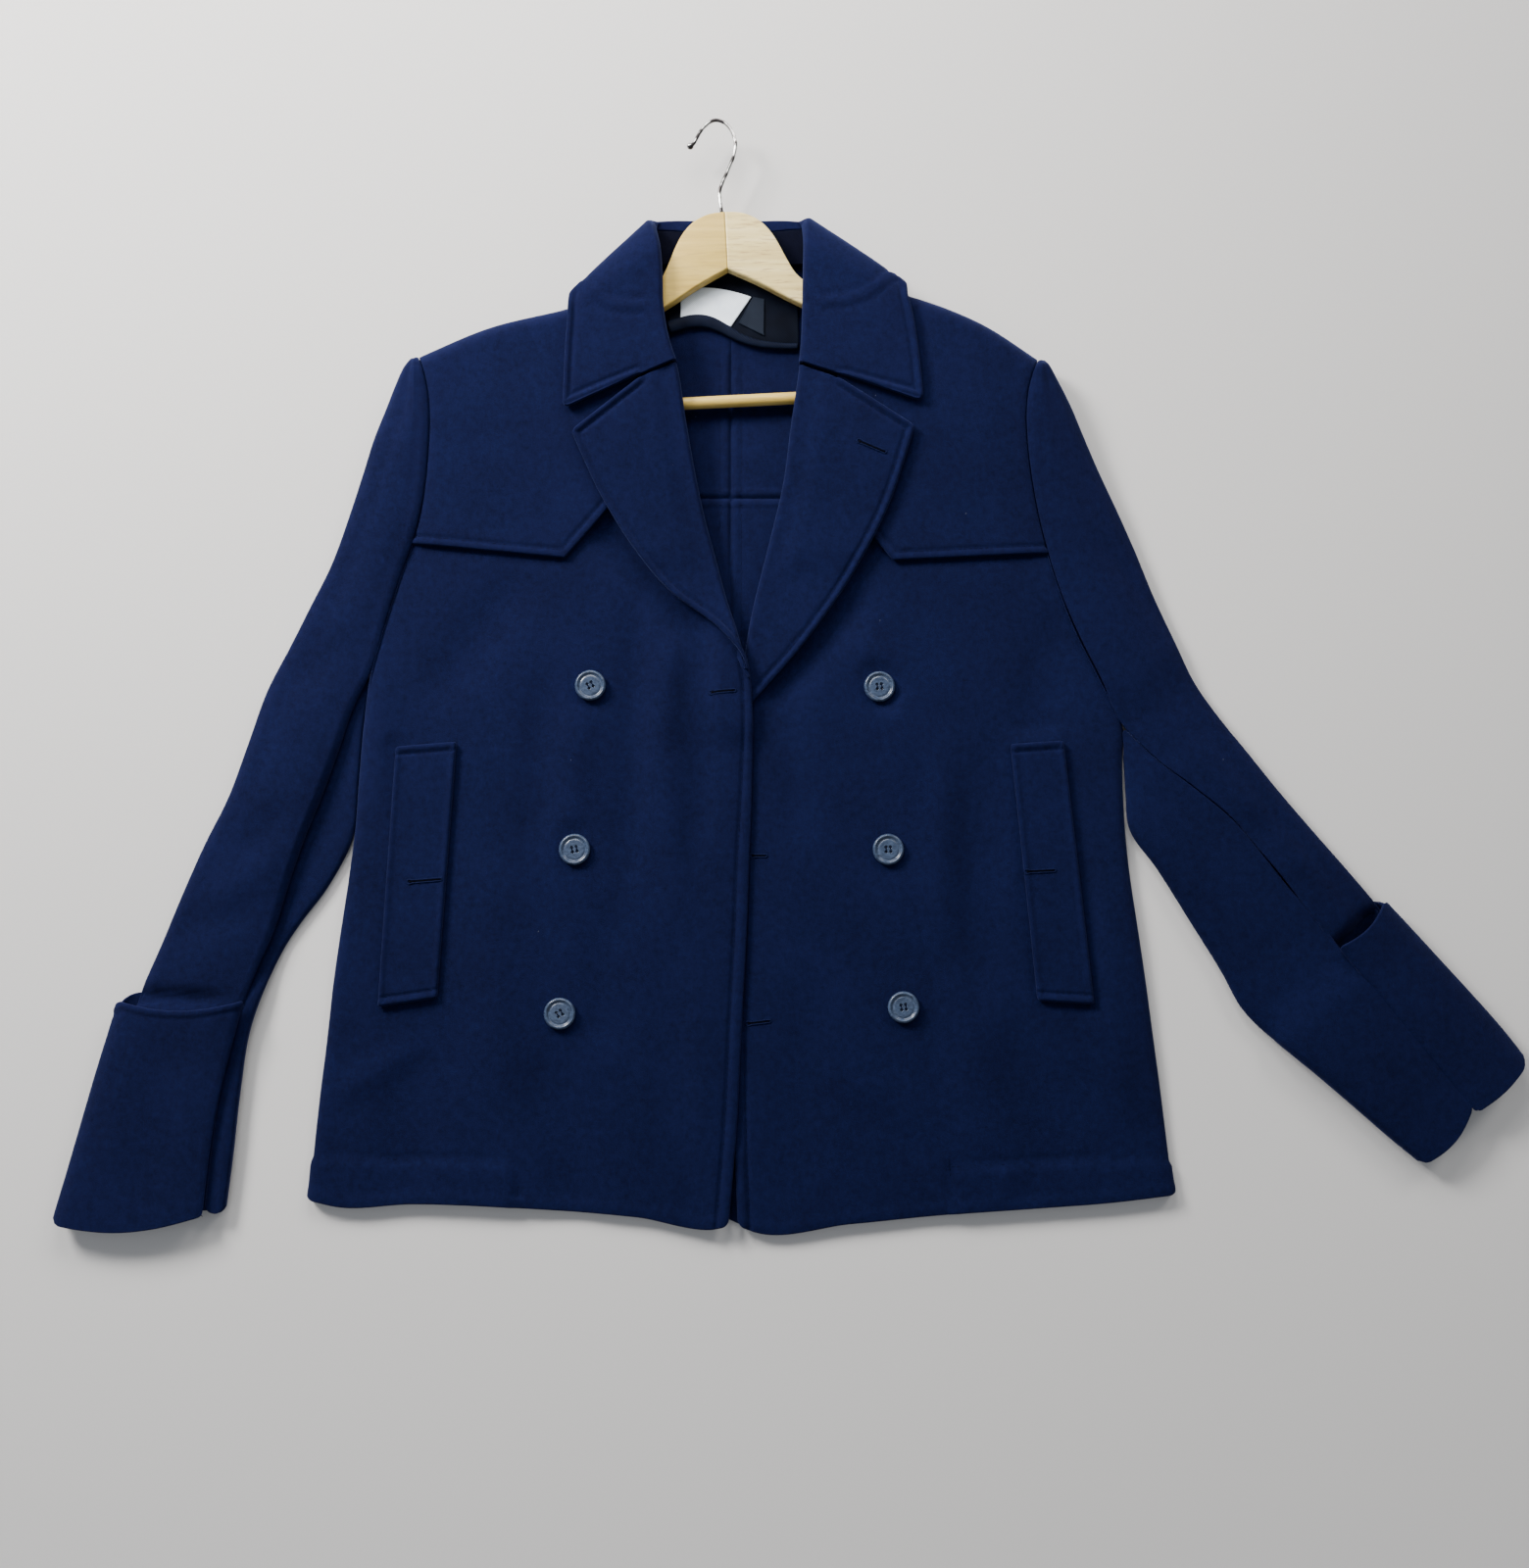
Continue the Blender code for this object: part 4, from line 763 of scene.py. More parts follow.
def lapelGrid(which):
    y0, y1 = lapel[which]["roll"]
    part = steps(y1 - y0, coarse=3.0)
    y = y0 + (y1 - y0) * part
    sign = -signOf[which]
    full = 0.3 + 0.7 * smooth((y - y0) / 34.0)
    axis = np.stack([edgeX(which, y) - sign * cloth["rollPlan"] * full, y], axis=1)
    edge = curveAt(lapel[which]["edge"], part)
    u = towardEnd()
    notch = polylineAt([axis[-1]] + lapel[which]["notch"][1:], u)
    plan = patch(polylineAt([axis[0], edge[0]], u), notch, axis, edge, u, part)
    x, y2 = plan[..., 0], plan[..., 1]
    z = frontHeight(which, x, y2) + cloth["lie"] + cloth["folded"]
    away = np.abs(x - edgeX(which, y2))
    z = z + (cloth["melton"] + cloth["lie"]) * smooth((away - 8) / 20) * smooth((y2 - 518) / 30)
    rise = cloth["breakRise"] * smooth((545 - y2) / 50) * (which == "right")
    stand = cloth["lapelStand"] * smooth(u / 0.9)[None] * smooth(part / 0.2)[:, None]
    top = np.dstack([x, y2, z + rise + stand * (0.65 + 0.35 * np.sin(np.pi * part))[:, None]])
    toward = np.zeros((len(part), 3))
    toward[:, :2] = axis - plan[:, np.argmin(np.abs(u - 0.2))]
    toward = unit(toward)
    up = np.array([[0, 0, 1.0]])
    half = (cloth["lapelHalf"] + rise[:, :1] * 0.6) * full[:, None]
    return rolled(top[:, 0] - up * half, toward, up, half, top, cloth["rollPlan"] * full[:, None])


# collar ribs from the gorge round to the centre back: roll x, y, outer edge x, y,
# turn of the cloth in degrees, height of the roll and of the outer edge
collarRows = {
    "right": [(-44, 702, -137, 659, 0, None, None), (-50, 720, -136, 683, 0, None, None),
              (-55, 748, -135, 710, 0, None, None), (-56, 776, -133.5, 733, 0, None, None),
              (-58, 800, -133, 746, 6, 28.2, 31.2), (-62, 817, -131, 757, 40, 23.0, 26.5),
              (-64, 827, -126, 765, 90, 14.0, 14.0), (-60, 831, -118, 762, 155, 7.0, 2.0),
              (-50, 832, -106, 751, 180, 4.7, 1.5), (-26, 832, -54, 746, 180, 4.7, 1.5)],
    "left": [(56, 700, 158, 665, 0, None, None), (58, 720, 156, 690, 0, None, None),
             (59, 748, 153, 716, 0, None, None), (59.5, 776, 149, 741, 0, None, None),
             (60, 800, 145.5, 755, 6, 28.2, 31.2), (60, 818, 144, 765, 40, 23.0, 26.5),
             (60, 828, 139, 773, 90, 14.0, 14.0), (56, 831, 131, 771, 155, 7.0, 2.0),
             (46, 832, 114, 757, 180, 4.7, 1.5), (24, 832, 58, 748, 180, 4.7, 1.5)],
}
collarBack = (0, 832, 0, 746, 180, 4.7, 1.5)
neckSeam = {
    "right": [(-74, 781, 15.0), (-77, 785, 12.5), (-75, 789, 10.6), (-66, 791.5, 9.4),
              (-50, 792, 9.0), (-26, 792, 9.0)],
    "left": [(76, 783, 15.0), (79, 787, 12.5), (77, 790, 10.6), (68, 792, 9.4),
             (50, 792, 9.0), (25, 792, 9.0)],
}
neckSeamBack = (0, 792, 9.0)


def collarRibs():  # axis, edge, up, toward and half height of every rib, from right to left
    rows = ([(r, -1) for r in collarRows["right"]] + [(collarBack, 0)]
            + [(r, 1) for r in collarRows["left"][::-1]])
    ribs = []
    for (rx, ry, ox, oy, turn, zr, zo), sign in rows:
        over = valueAt(frontRise, np.array([ry, oy])) + cloth["melton"] + 2 * cloth["lie"] + cloth["folded"]
        a = math.radians(turn)
        half = cloth["collarHalf"] + cloth["flapShare"] * (1 + math.cos(a))
        zr = over[0] - half if zr is None else zr
        zo = over[1] - cloth["folded"] / 2 if zo is None else zo
        outward = unit(np.array([ry - oy, ox - rx, 0.0])) * (-1 if sign < 0 else 1)
        up = math.cos(a) * np.array([0, 0, 1.0]) + math.sin(a) * outward
        toward = unit(np.array([rx - ox, ry - oy, 0.0]))
        axis = np.array([rx, ry, zr]) - toward * cloth["rollPlan"]
        edge = np.array([ox, oy, zo]) + up * cloth["folded"] / 2
        ribs.append(np.concatenate([axis, edge, up, toward, [half]]))
    return np.array(ribs)


def collarGrid():
    ribs = collarRibs()
    t = lengthsAlong(ribs[:, 3:6] * 0.6 + ribs[:, :3] * 0.4)
    ribs = hermite(ribs, np.gradient(ribs, t, axis=0), t, steps(t[-1], coarse=3.0) * t[-1])
    axis, edge, up, toward, half = np.split(ribs, [3, 6, 9, 12], axis=1)
    up, toward = unit(up), unit(toward)
    start = axis + up * half
    w = towardEnd()[None, :, None]
    fall = start[:, None] * (1 - w) + edge[:, None] * w
    swell = (cloth["collarSwell"] * np.sin(np.pi * w) * smooth((up[:, None, 2:3] + 0.6) / 1.5)
             + cloth["collarStand"] * smooth(w) * smooth((up[:, None, 2:3] - 0.2) / 0.8))
    return rolled(axis, toward, up, half, fall + swell * up[:, None])


def standGrid():
    ribs = collarRibs()
    axis, up, toward, half = (ribs[:, k:k + 3] for k in (0, 6, 9, 12))
    count = len(neckSeam["right"])
    first = len(collarRows["right"]) - count
    leg = (axis - toward * (cloth["leg"] + cloth["seam"]) - up * half)[first:-first]
    seam = np.array(neckSeam["right"] + [neckSeamBack] + neckSeam["left"][::-1], float)
    w = np.linspace(0, 1, 5)[None, :, None]
    grid = leg[:, None] * (1 - w) + seam[:, None] * w
    return resample(grid, crowd(70), crowd(14))


# sleeves below the armhole: outer outline, front seam, inner outline, height of the crown,
# of the upper piece and the under piece at the seam, and of the fold at the inner outline
sleeve = {
    "right": [(-358, 469, -290.6, 448, -294.2, 425, 15.0, 9.2, 6.0, 6.0),
              (-376, 430, -305, 415, -297.2, 402, 17.0, 9.6, 6.5, 6.5),
              (-390, 385, -315, 382, -300.2, 355, 19.0, 9.9, 6.8, 6.8),
              (-404, 342, -328, 343, -303.2, 312, 20.0, 10.1, 7.0, 7.0),
              (-421, 305, -341, 308, -322, 272, 20.0, 10.1, 7.0, 7.0),
              (-437, 266, -352, 272, -343, 243, 19.0, 10.2, 7.1, 7.0),
              (-453, 224, -362, 236, -355, 224, 18.0, 10.6, 7.4, 7.0),
              (-466, 190, -375, 203, -366, 199, 17.5, 12.0, 8.8, 8.4),
              (-477, 150, -390, 158, -379.5, 158, 17.0, 13.0, 9.8, 9.0),
              (-492, 105, -399, 112, -385.5, 110, 16.5, 13.0, 9.8, 9.0),
              (-506, 62, -404, 66, -389.5, 58, 16.0, 12.5, 9.3, 9.0),
              (-519, 17, -408, 19, -393.5, 18, 15.0, 12.0, 8.8, 8.5)],
    "left": [(379, 436, 317.5, 402, 318.6, 377, 14.0, 8.9, 8.9, 7.0),
             (397, 408, 343, 374, 319.5, 346, 17.0, 14.5, 14.5, 9.0),
             (419, 379, 372, 351, 321.5, 318, 18.5, 16.0, 16.0, 10.0),
             (441, 350, 401, 326, 343, 285, 19.0, 17.0, 17.0, 11.0),
             (467, 318, 428, 293, 370, 240, 19.0, 17.0, 17.0, 11.0),
             (493, 287, 449, 266, 392, 203, 18.5, 16.5, 16.5, 11.0),
             (513, 262, 467, 241, 407, 174, 18.0, 16.0, 16.0, 11.0),
             (535, 233, 486, 214, 432, 149, 17.5, 15.5, 15.5, 11.0),
             (560, 206, 514, 183, 463, 123, 17.0, 15.0, 15.0, 11.0),
             (584, 179, 538, 153, 494, 96, 16.5, 14.5, 14.5, 10.5),
             (604, 154, 564, 130, 520, 73, 16.0, 14.0, 14.0, 10.5),
             (618, 133, 581, 98, 543, 54, 15.0, 13.5, 13.5, 10.0)],
}
seamLap = {"right": 4.0, "left": -0.3}  # under piece past the seam, or short of it
sleeveShape = {"round": 17.0, "hindSeam": 0.62, "hindAtTop": 0.82, "dome": 2.2, "cuffLap": 3.2}
cuffRib = {"right": 7, "left": 6}       # first rib inside the cuff
# turned-back cuffs: outer outline, front seam, hind seam, crown, rim, bow
cuff = {
    "right": [(-484, 182, -382, 181, -415, 183, 23.2, 16.4, 8),
              (-496, 136, -391.5, 140, -425, 139, 20.9, 16.4, 2),
              (-508, 90, -399, 104, -433, 95, 20.2, 16.3, 1),
              (-519, 47, -404.5, 64, -440, 52, 19.6, 15.9, 4),
              (-529, 9, -408.5, 15, -446, 11, 18.8, 15.4, 9)],
    "left": [(519.5, 260.5, 482, 224, 450, 207, 23.4, 19.2, 5),
             (543, 235, 501, 200, 475, 184, 21.0, 18.9, 1),
             (565, 210, 520, 176, 498, 162, 20.4, 18.4, 0),
             (587, 185, 539, 152, 521, 139, 20.0, 18.0, 0),
             (609, 159, 562, 123, 551, 110, 19.5, 17.5, 1),
             (628, 134, 585, 95, 574, 85, 18.6, 17.0, 3)],
}
cuffOpen = {"right": 6.0, "left": 2.5}   # how much higher the cuff's rear edge stands
foldTurns = np.radians([-90, -52, -16, 20, 55, 90])
edgeTurns = np.radians([90, 50, 14, 0])


def sleeveRows(which):  # all ribs of a sleeve from its end up to the shoulder
    ply = cloth["melton"] + cloth["lie"]
    rows = [dict(a=r[0:2], b=r[2:4], c=r[4:6], crown=r[6], rim=r[7], ret=r[8], fold=r[9],
                 hind=sleeveShape["hindSeam"], lift=ply * (i >= cuffRib[which]))
            for i, r in enumerate(sleeve[which])]
    rows[0]["hind"] = sleeveShape["hindAtTop"]
    for x, y, ax, ay, swell in armholeRibs[which][1:]:
        over = ply * smooth((y - 530) / 30)
        rim = float(frontHeight(which, np.array(x), np.array(float(y))) + over - cloth["armholeDip"])
        gone = abs(y - shoulderTip[which][1]) / cloth["shoulderRound"]
        rim = max(rim * float(np.sqrt(1 - (1 - min(gone, 1)) ** 2)), 11.0)
        point = (x + (0.5 if ax > x else -0.5), y)
        rows.insert(0, dict(a=(ax, ay), b=point, c=point, crown=rim + cloth["armholeDip"] * 0.6 + swell,
                            rim=rim, ret=0, fold=0, hind=1.0, lift=0))
    return rows


def rib(floor, outer, inner, radius, low, high, rim, dome, mids=4):
    # underneath, round the outer fold, over the top and down to the seam
    floor, outer, inner = (np.array(p, float) for p in (floor, outer, inner))
    width = np.linalg.norm(inner - outer)
    away = (inner - outer) / width
    under = unit(floor - outer)
    radius = min(radius, 0.42 * width)
    points = [(*floor, low), (*(floor + outer) * 0.5, low)]
    middle, half = (low + high) / 2, (high - low) / 2
    for a in foldTurns:
        spot = outer + (away if a > 0 else under) * radius * (1 - math.cos(a))
        points.append((*spot, middle + half * math.sin(a)))
    turn = min(10.0, 0.3 * width)
    for t in np.linspace(radius, width - turn, mids)[1:]:
        share = min((t - radius) / (width - radius) * 1.1, 1.0)
        points.append((*(outer + away * t), high + dome * math.sin(math.pi * share)))
    crown = points[-1][2]
    for a in edgeTurns[1:]:
        points.append((*(inner - away * turn * (1 - math.cos(a))), rim + (crown - rim) * math.sin(a)))
    return points


def sleeveTopGrid(which):
    ribs = []
    for row in sleeveRows(which):
        a, c = np.array(row["a"], float), np.array(row["c"], float)
        floor = a + (c - a) * row["hind"]
        high = row["crown"] - sleeveShape["dome"]
        ribs.append(rib(floor, a, row["b"], sleeveShape["round"], row["lift"], high, row["rim"],
                        sleeveShape["dome"]))
    return resample(np.array(ribs), steps(560.0), steps(230.0))


endBow = {"right": 2.0, "left": 6.0}
endRound = {"right": 6.0, "left": 4.5}


def bowed(grid, bow, start, stop):  # an end pushed out in the middle by bow * sin(pi * share)
    across = np.array(stop, float) - start
    width = np.linalg.norm(across)
    share = np.clip((grid[..., :2] - start) @ across / width ** 2, 0, 1)
    out = np.array([across[1], -across[0]]) / width
    out *= np.sign((grid[-1, :, :2] - grid[-12, :, :2]).mean(0) @ out)
    gone = np.linalg.norm(grid - grid[-1:], axis=2).mean(1)
    push = bow * np.sin(np.pi * share) * smooth(1 - gone / 40.0)[:, None]
    return np.dstack([grid[..., :2] + out * push[..., None], grid[..., 2]])


def sleeveUnderGrid(which):
    ribs = []
    for row in sleeveRows(which)[len(armholeRibs[which]) - 1:]:
        a, b, c = (np.array(row[k], float) for k in "abc")
        over = unit(a - c)
        floor = a + (c - a) * row["hind"] - over * cloth["seam"]
        lap = sleeveShape["cuffLap"] if row["lift"] else seamLap[which]
        end = b + unit(a - b) * lap
        length = np.linalg.norm(end - c)
        away = (end - c) / length
        low, fold = row["lift"], row["fold"]
        radius = min((fold - low) / 2 + 1.0, 0.3 * length)
        points = [(*floor, low), (*(floor + c + over * radius) * 0.5, low)]
        for turn in foldTurns:
            spot = c + (away if turn > 0 else over) * radius * (1 - math.cos(turn))
            points.append((*spot, (low + fold) / 2 + (fold - low) / 2 * math.sin(turn)))
        for t in (0.45, 1.0):
            spot = c + away * (radius + (length - radius) * t)
            points.append((*spot, fold + (row["ret"] - fold) * math.sin(t * math.pi / 2)))
        ribs.append(points)
    fold, seam = sleeve[which][-1][4:6], sleeve[which][-1][2:4]
    grid = bowed(resample(np.array(ribs), steps(480.0), crowd(44, 0.3)), endBow[which], fold, seam)
    return roundFold(grid, endRound[which], fold, seam)


def cuffGrid(which):
    ribs = []
    for ax, ay, bx, by, hx, hy, crown, rim, bow in cuff[which]:
        points = np.array(rib((hx, hy), (ax, ay), (bx, by), sleeveShape["round"] + 3, 0.0, crown - 1.0,
                              rim, 1.0))
        a, b = np.array([ax, ay], float), np.array([bx, by], float)
        along = (points[:, :2] - a) @ (b - a) / ((b - a) @ (b - a))
        down = unit(np.array([-(b - a)[1], (b - a)[0]]))
        down *= 1 if down[1] < 0 else -1
        below = np.arange(len(points)) < 2 + len(foldTurns) // 2
        rear = -cuffOpen[which] * smooth(along / 0.12) if not ribs else 0 * along
        points[:, :2] += np.outer(np.where(below, rear, bow * np.sin(np.pi * np.clip(along, 0, 1))), down)
        ribs.append(points)
    grid = resample(np.array(ribs), steps(175.0, coarse=3.0), steps(230.0))
    for end, radius in ((0, 5.0), (-1, 9.0)):
        grid = roundFold(grid, radius, cuff[which][end][0:2], cuff[which][end][2:4], end)
    return grid


buttons = {"right": [(-113, 434), (-124, 301), (-134, 171)], "left": [(121, 433), (127, 301), (138, 176)]}
welt = {
    "right": [(-278, 176), (-231, 183), (-220, 388), (-269, 384)],
    "left": [(289, 178), (244, 181), (226, 386), (269, 389)],
}


def fourCorners(corners, u, v):
    a, b, c, d = (np.array(p, float) for p in corners)
    u, v = u[None, :, None], v[:, None, None]
    return (1 - v) * ((1 - u) * a + u * b) + v * ((1 - u) * d + u * c)


def weltGrid(which):
    plan = fourCorners(welt[which], steps(47.0, coarse=2.0), steps(206.0, coarse=3.0))
    z = frontHeight(which, plan[..., 0], plan[..., 1]) + cloth["lie"] + cloth["folded"] + cloth["weltStand"]
    return np.dstack([plan, z])


# small creases of the sleeves and cuffs, as x, y to x, y, half width, height
creases = {
    "sleeve_right": [(-392, 300, -352, 330, 15, -2.2), (-404, 262, -362, 290, 12, 1.3),
                     (-440, 236, -380, 250, 13, -1.6), (-352, 430, -312, 470, 16, -1.6),
                     (-338, 520, -284, 470, 17, -1.3), (-300, 600, -270, 540, 14, 1.0),
                     (-478, 185, -404, 182, 6, -6.5)],
    "sleeve_left": [(300, 553, 334, 513, 7, -1.5), (334, 513, 357, 478, 7, -1.7),
                    (352, 462, 330, 420, 16, 1.4), (436, 322, 388, 296, 14, -1.9),
                    (462, 300, 420, 268, 12, 1.1), (512, 250, 452, 204, 13, -1.4),
                    (376, 400, 340, 366, 13, -1.3), (476, 212, 518, 250, 6.5, -14.0)],
    "cuff_right": [(-500, 150, -470, 60, 24, 1.0), (-440, 150, -452, 40, 18, -1.1)],
    "cuff_left": [(556, 226, 600, 168, 16, 0.8), (520, 176, 566, 118, 16, -1.0)],
    "sleeve_under": [(-372, 240, -352, 268, 9, -0.8), (418, 214, 452, 232, 12, -0.8)],
}


def flushRise(which, grid):  # the under piece beside the cuff, level with its edge at the seam
    x, y = grid[..., 0], grid[..., 1]
    if which == "right":
        down, width = smooth((205 - y) / 26.0), smooth((x + 425) / 12.0)
    else:  # along the sleeve from the cuff's upper edge
        down = smooth((((x - 466) * 0.66 - (y - 207) * 0.75) + 8.0) / 44.0)
        width = smooth((x - 420) / 20.0)
    return np.where(grid[..., 2] > 5.0, (3.2 if which == "right" else 6.2) * down * width, 0.0)


def plied(grid, rows):  # relief from creases, full on the upper face and mild underneath
    up = normalsOf(grid)[..., 2]
    share = np.where(grid[..., 2] > 7.0, np.abs(up), 0.0)
    return creaseField(rows, grid[..., 0], grid[..., 1]) * share


print("coat pieces")


def sheetOf(name, node, grid, rests, wall=cloth["melton"], look=melton, slot="melton", **rest):
    # closed cloth round the grid, in place of the part it stands for
    piece = shell(name, grid, wall, look, slot, (node,), **rest)


hemBand = {"right": [(-287, 58), (-168, 55), (-166, 30)], "left": [(177, 22), (173, 52), (282, 57)]}
# more soft folds of the fronts, shown only here, and how much of their height is used
drape = {
    "right": [(-104, 564, -36, 490, 15, -3.4), (-44, 500, -4, 430, 16, -2.2),
              (-46, 470, -52, 392, 13, 1.7), (-52, 392, -38, 240, 15, 1.6),
              (-76, 490, -80, 293, 11, -1.6), (-14, 420, -10, 316, 15, -1.2),
              (-98, 250, -104, 150, 18, -1.2), (-240, 160, -256, 40, 22, -1.5),
              (-176, 515, -236, 430, 20, -1.8), (-286, 440, -270, 330, 15, 1.5),
              (-30, 250, -24, 60, 14, 1.3), (-190, 300, -182, 120, 22, 1.2),
              (-146, 130, -120, 20, 18, -1.3), (-310, 108, -240, 146, 13, 1.1),
              (-122, 420, -128, 300, 15, 1.2), (-152, 430, -160, 300, 14, -1.4)],
    "left": [(38, 440, 58, 320, 14, -1.5), (46, 430, 110, 508, 14, -1.7),
             (104, 480, 150, 372, 18, 1.6), (264, 480, 236, 340, 18, -2.1),
             (206, 372, 198, 180, 14, -1.6), (172, 380, 168, 230, 14, 1.3),
             (302, 260, 312, 90, 18, 1.4), (62, 170, 50, 30, 17, -1.3),
             (190, 190, 200, 50, 20, 1.2), (226, 160, 262, 60, 18, -1.3),
             (150, 250, 168, 120, 16, -0.9), (216, 52, 214, 26, 5, 0.8),
             (238, 50, 236, 26, 5, -0.8), (104, 96, 156, 60, 15, -1.0)],
}
draping = {"share": 2.3, "held": 16.0, "button": 12.5, "weltWide": 20, "weltLong": 100, "spare": 0.6}


def edgeSeam(y):  # how far the front edge's stitches lie from it
    return np.interp(y, [300.0, 440.0], [9.5, 6.0])


def drapeOf(which, grid):  # held flat round the buttons and welts, and under the flaps
    x, y = grid[..., 0], grid[..., 1]
    corners = np.array(welt[which], float)
    held = distanceTo(x, y, corners[[0, 1, 2, 3, 0]])
    for bx, by in buttons[which]:
        held = np.minimum(held, np.hypot(x - bx, y - by) - draping["button"])
    off = np.abs(grid[..., :2] - corners.mean(0))
    held = np.where((off[..., 0] < draping["weltWide"]) & (off[..., 1] < draping["weltLong"]), 0, held)
    lap = (-4.0 - x) / 20.0 if which == "right" else (x - 16.0) / 14.0  # the fronts keep apart
    field = draping["share"] * creaseField(drape[which], x, y) * smooth(held / draping["held"]) * smooth(lap)
    wall = 2 * cloth["melton"] + draping["spare"]  # the walls of front and back lie below this face
    room = np.maximum(grid[..., 2] - backLift(y) - wall, 0.05)
    return room * np.tanh(np.minimum(field, 0) / room) + np.maximum(field, 0) * smooth((545 - y) / 30.0)


def raised(grid, relief):  # the grid with its relief, for what lies on it
    return grid + np.broadcast_to(relief, grid.shape[:2])[..., None] * [0, 0, 1]


skins = {}


def sewAlong(path, skin, every=3.0):  # stitches on a skin along a plan path
    path = np.asarray(path, float)
    count = max(int(lengthsAlong(path)[-1] / every), 4)
    stitch(settle(polylineAt(path, np.linspace(0, 1, count)), skin))


def sewnOnTop(grid, distance, first=20):  # a sewn edge where a rolled piece shows, past its roll's columns
    onTop = np.zeros(grid.shape[1])
    onTop[first:] = smooth(np.arange(grid.shape[1] - first) / 4.0)
    return sewnEdge(distance) * onTop


shows = 18  # first column of a rolled piece that can carry stitches
for which in sides:
    sign = signOf[which]
    frontNode, flapNode, weltNode = "front_" + which, "storm_flap_" + which, "welt_" + which

    grid = roundCorners(frontGrid(which), 5.0, (1, 1, 0, 0))
    grid[..., 2] += drapeOf(which, grid)
    x, y = grid[..., 0], grid[..., 1]
    edgeY = np.arange(7.0, 462.0 if which == "right" else 412.0, 5)
    edgePath = np.stack([edgeX(which, edgeY), edgeY], axis=1)
    hemPath = curveAt(hem[which], np.linspace(0, 1, 60))
    inBand = np.minimum(-167.5 - x, 56.5 - y) if which == "right" else np.minimum(x - 175.0, 54.5 - y)
    relief = (sewnEdge(distanceTo(x, y, edgePath), edgeSeam(y), 1.6, 1.3, 1.9)
              + sewnEdge(distanceTo(x, y, hemPath), 12.0, 0.0, 0.6)
              + groove(x, y, hemBand[which], 2.0, 2.4) + 1.8 * smooth(0.5 + inBand / 4.0))
    if which == "left":  # flat where the right front lies on it
        relief = relief + groove(x, y, [(217, 380), (240, 186)], 0.5, 1.5)
        relief = relief - np.maximum(relief, 0) * smooth((17.0 - x) / 4.0) * smooth((y - 62.0) / 12.0)
    skins[frontNode] = raised(grid, relief)
    sewAlong(edgePath + edgeSeam(edgeY)[:, None] * [sign, 0], skins[frontNode])
    sewAlong(hemBand[which], skins[frontNode])
    sheetOf("coatFront_" + which, frontNode, grid, ["back_" + which, "back_yoke_" + which], relief=relief)

    grid = flapGrid(which)
    low = np.array(flap[which]["low"], float)
    relief = sewnEdge(distanceTo(grid[..., 0], grid[..., 1], low), 6.5, 0.9, 0.5)
    inward = [[0, 6.5], [sign * 2.5, 6.5], [sign * 5, 4.3], [sign * 5, 4.3]]
    sewAlong(low + inward, raised(grid, relief))
    sheetOf("stormFlap_" + which, flapNode, grid, [frontNode], relief=relief)

    grid = roundCorners(weltGrid(which), 3.0)
    x, y = grid[..., 0], grid[..., 1]
    corners = np.array(welt[which], float)
    bars = [[corners[0] + (corners[3] - corners[0]) * k, corners[1] + (corners[2] - corners[1]) * k]
            for k in (0.034, 0.966)]
    relief = (bell(distanceTo(x, y, corners[[0, 1, 2, 3, 0]]) - 2.4, 2.2)
              + groove(x, y, bars[0], 0.9) + groove(x, y, bars[1], 0.9))
    skins[weltNode] = raised(grid, relief)
    for bar in bars:
        sewAlong(bar, skins[weltNode])
    sheetOf("pocketWelt_" + which, weltNode, grid, [frontNode], cloth["folded"], relief=relief)

    grid = roundCorners(lapelGrid(which), 5.0, (0, 0, 0, 1))
    edge, notch = lapel[which]["edge"], np.array(lapel[which]["notch"], float)
    free = np.concatenate([curveAt(edge, np.linspace(0, 1, 50)), notch[1:2]])
    relief = sewnOnTop(grid, distanceTo(grid[..., 0], grid[..., 1], free))
    skins["lapel_" + which] = raised(grid[:, shows:], relief[:, shows:])
    alongEdge = curveAt(edge, np.linspace(0.06, 0.97, 40))
    alongNotch = notch[1] + (notch[2] - notch[1]) * np.linspace(0.04, 0.93, 8)[:, None]
    for path, toward in ((alongEdge, (10, 700)), (alongNotch, (0, 560))):
        sewAlong(inside(path, 6.0, toward), skins["lapel_" + which])
    sheetOf("lapelFold_" + which, "lapel_" + which, grid, [frontNode, flapNode], cloth["folded"],
            relief=relief)

    for node, yoke, piece in (("back_", False, "coatBack_"), ("back_yoke_", True, "backYoke_")):
        grid = backGrid(which, yoke)
        x, y = grid[..., 0], grid[..., 1]
        seams = pressedSeam(np.abs(x)) + pressedSeam(np.abs(y - back["yokeSeam"]))
        upper = grid + [0, 0, cloth["melton"]]
        upper[..., 2] += np.maximum(seams, -1.8) * (y > 430) * (y < 720)
        skins[node + which] = upper
        sheetOf(piece + which, node + which, grid, [], out=(0, 0, -1), inner=upper)
    x = 9.0 * sign  # stitches beside the centre seam, then beside the yoke seam
    for node, ends in (("back_", (470, 584)), ("back_yoke_", (600, 712))):
        sewAlong([(x, ends[0]), (x, ends[1])], skins[node + which])
    for node, y in (("back_", 587.0), ("back_yoke_", 599.0)):
        sewAlong([(60.0 * sign / 9, y), (60.0 * sign, y)], skins[node + which])

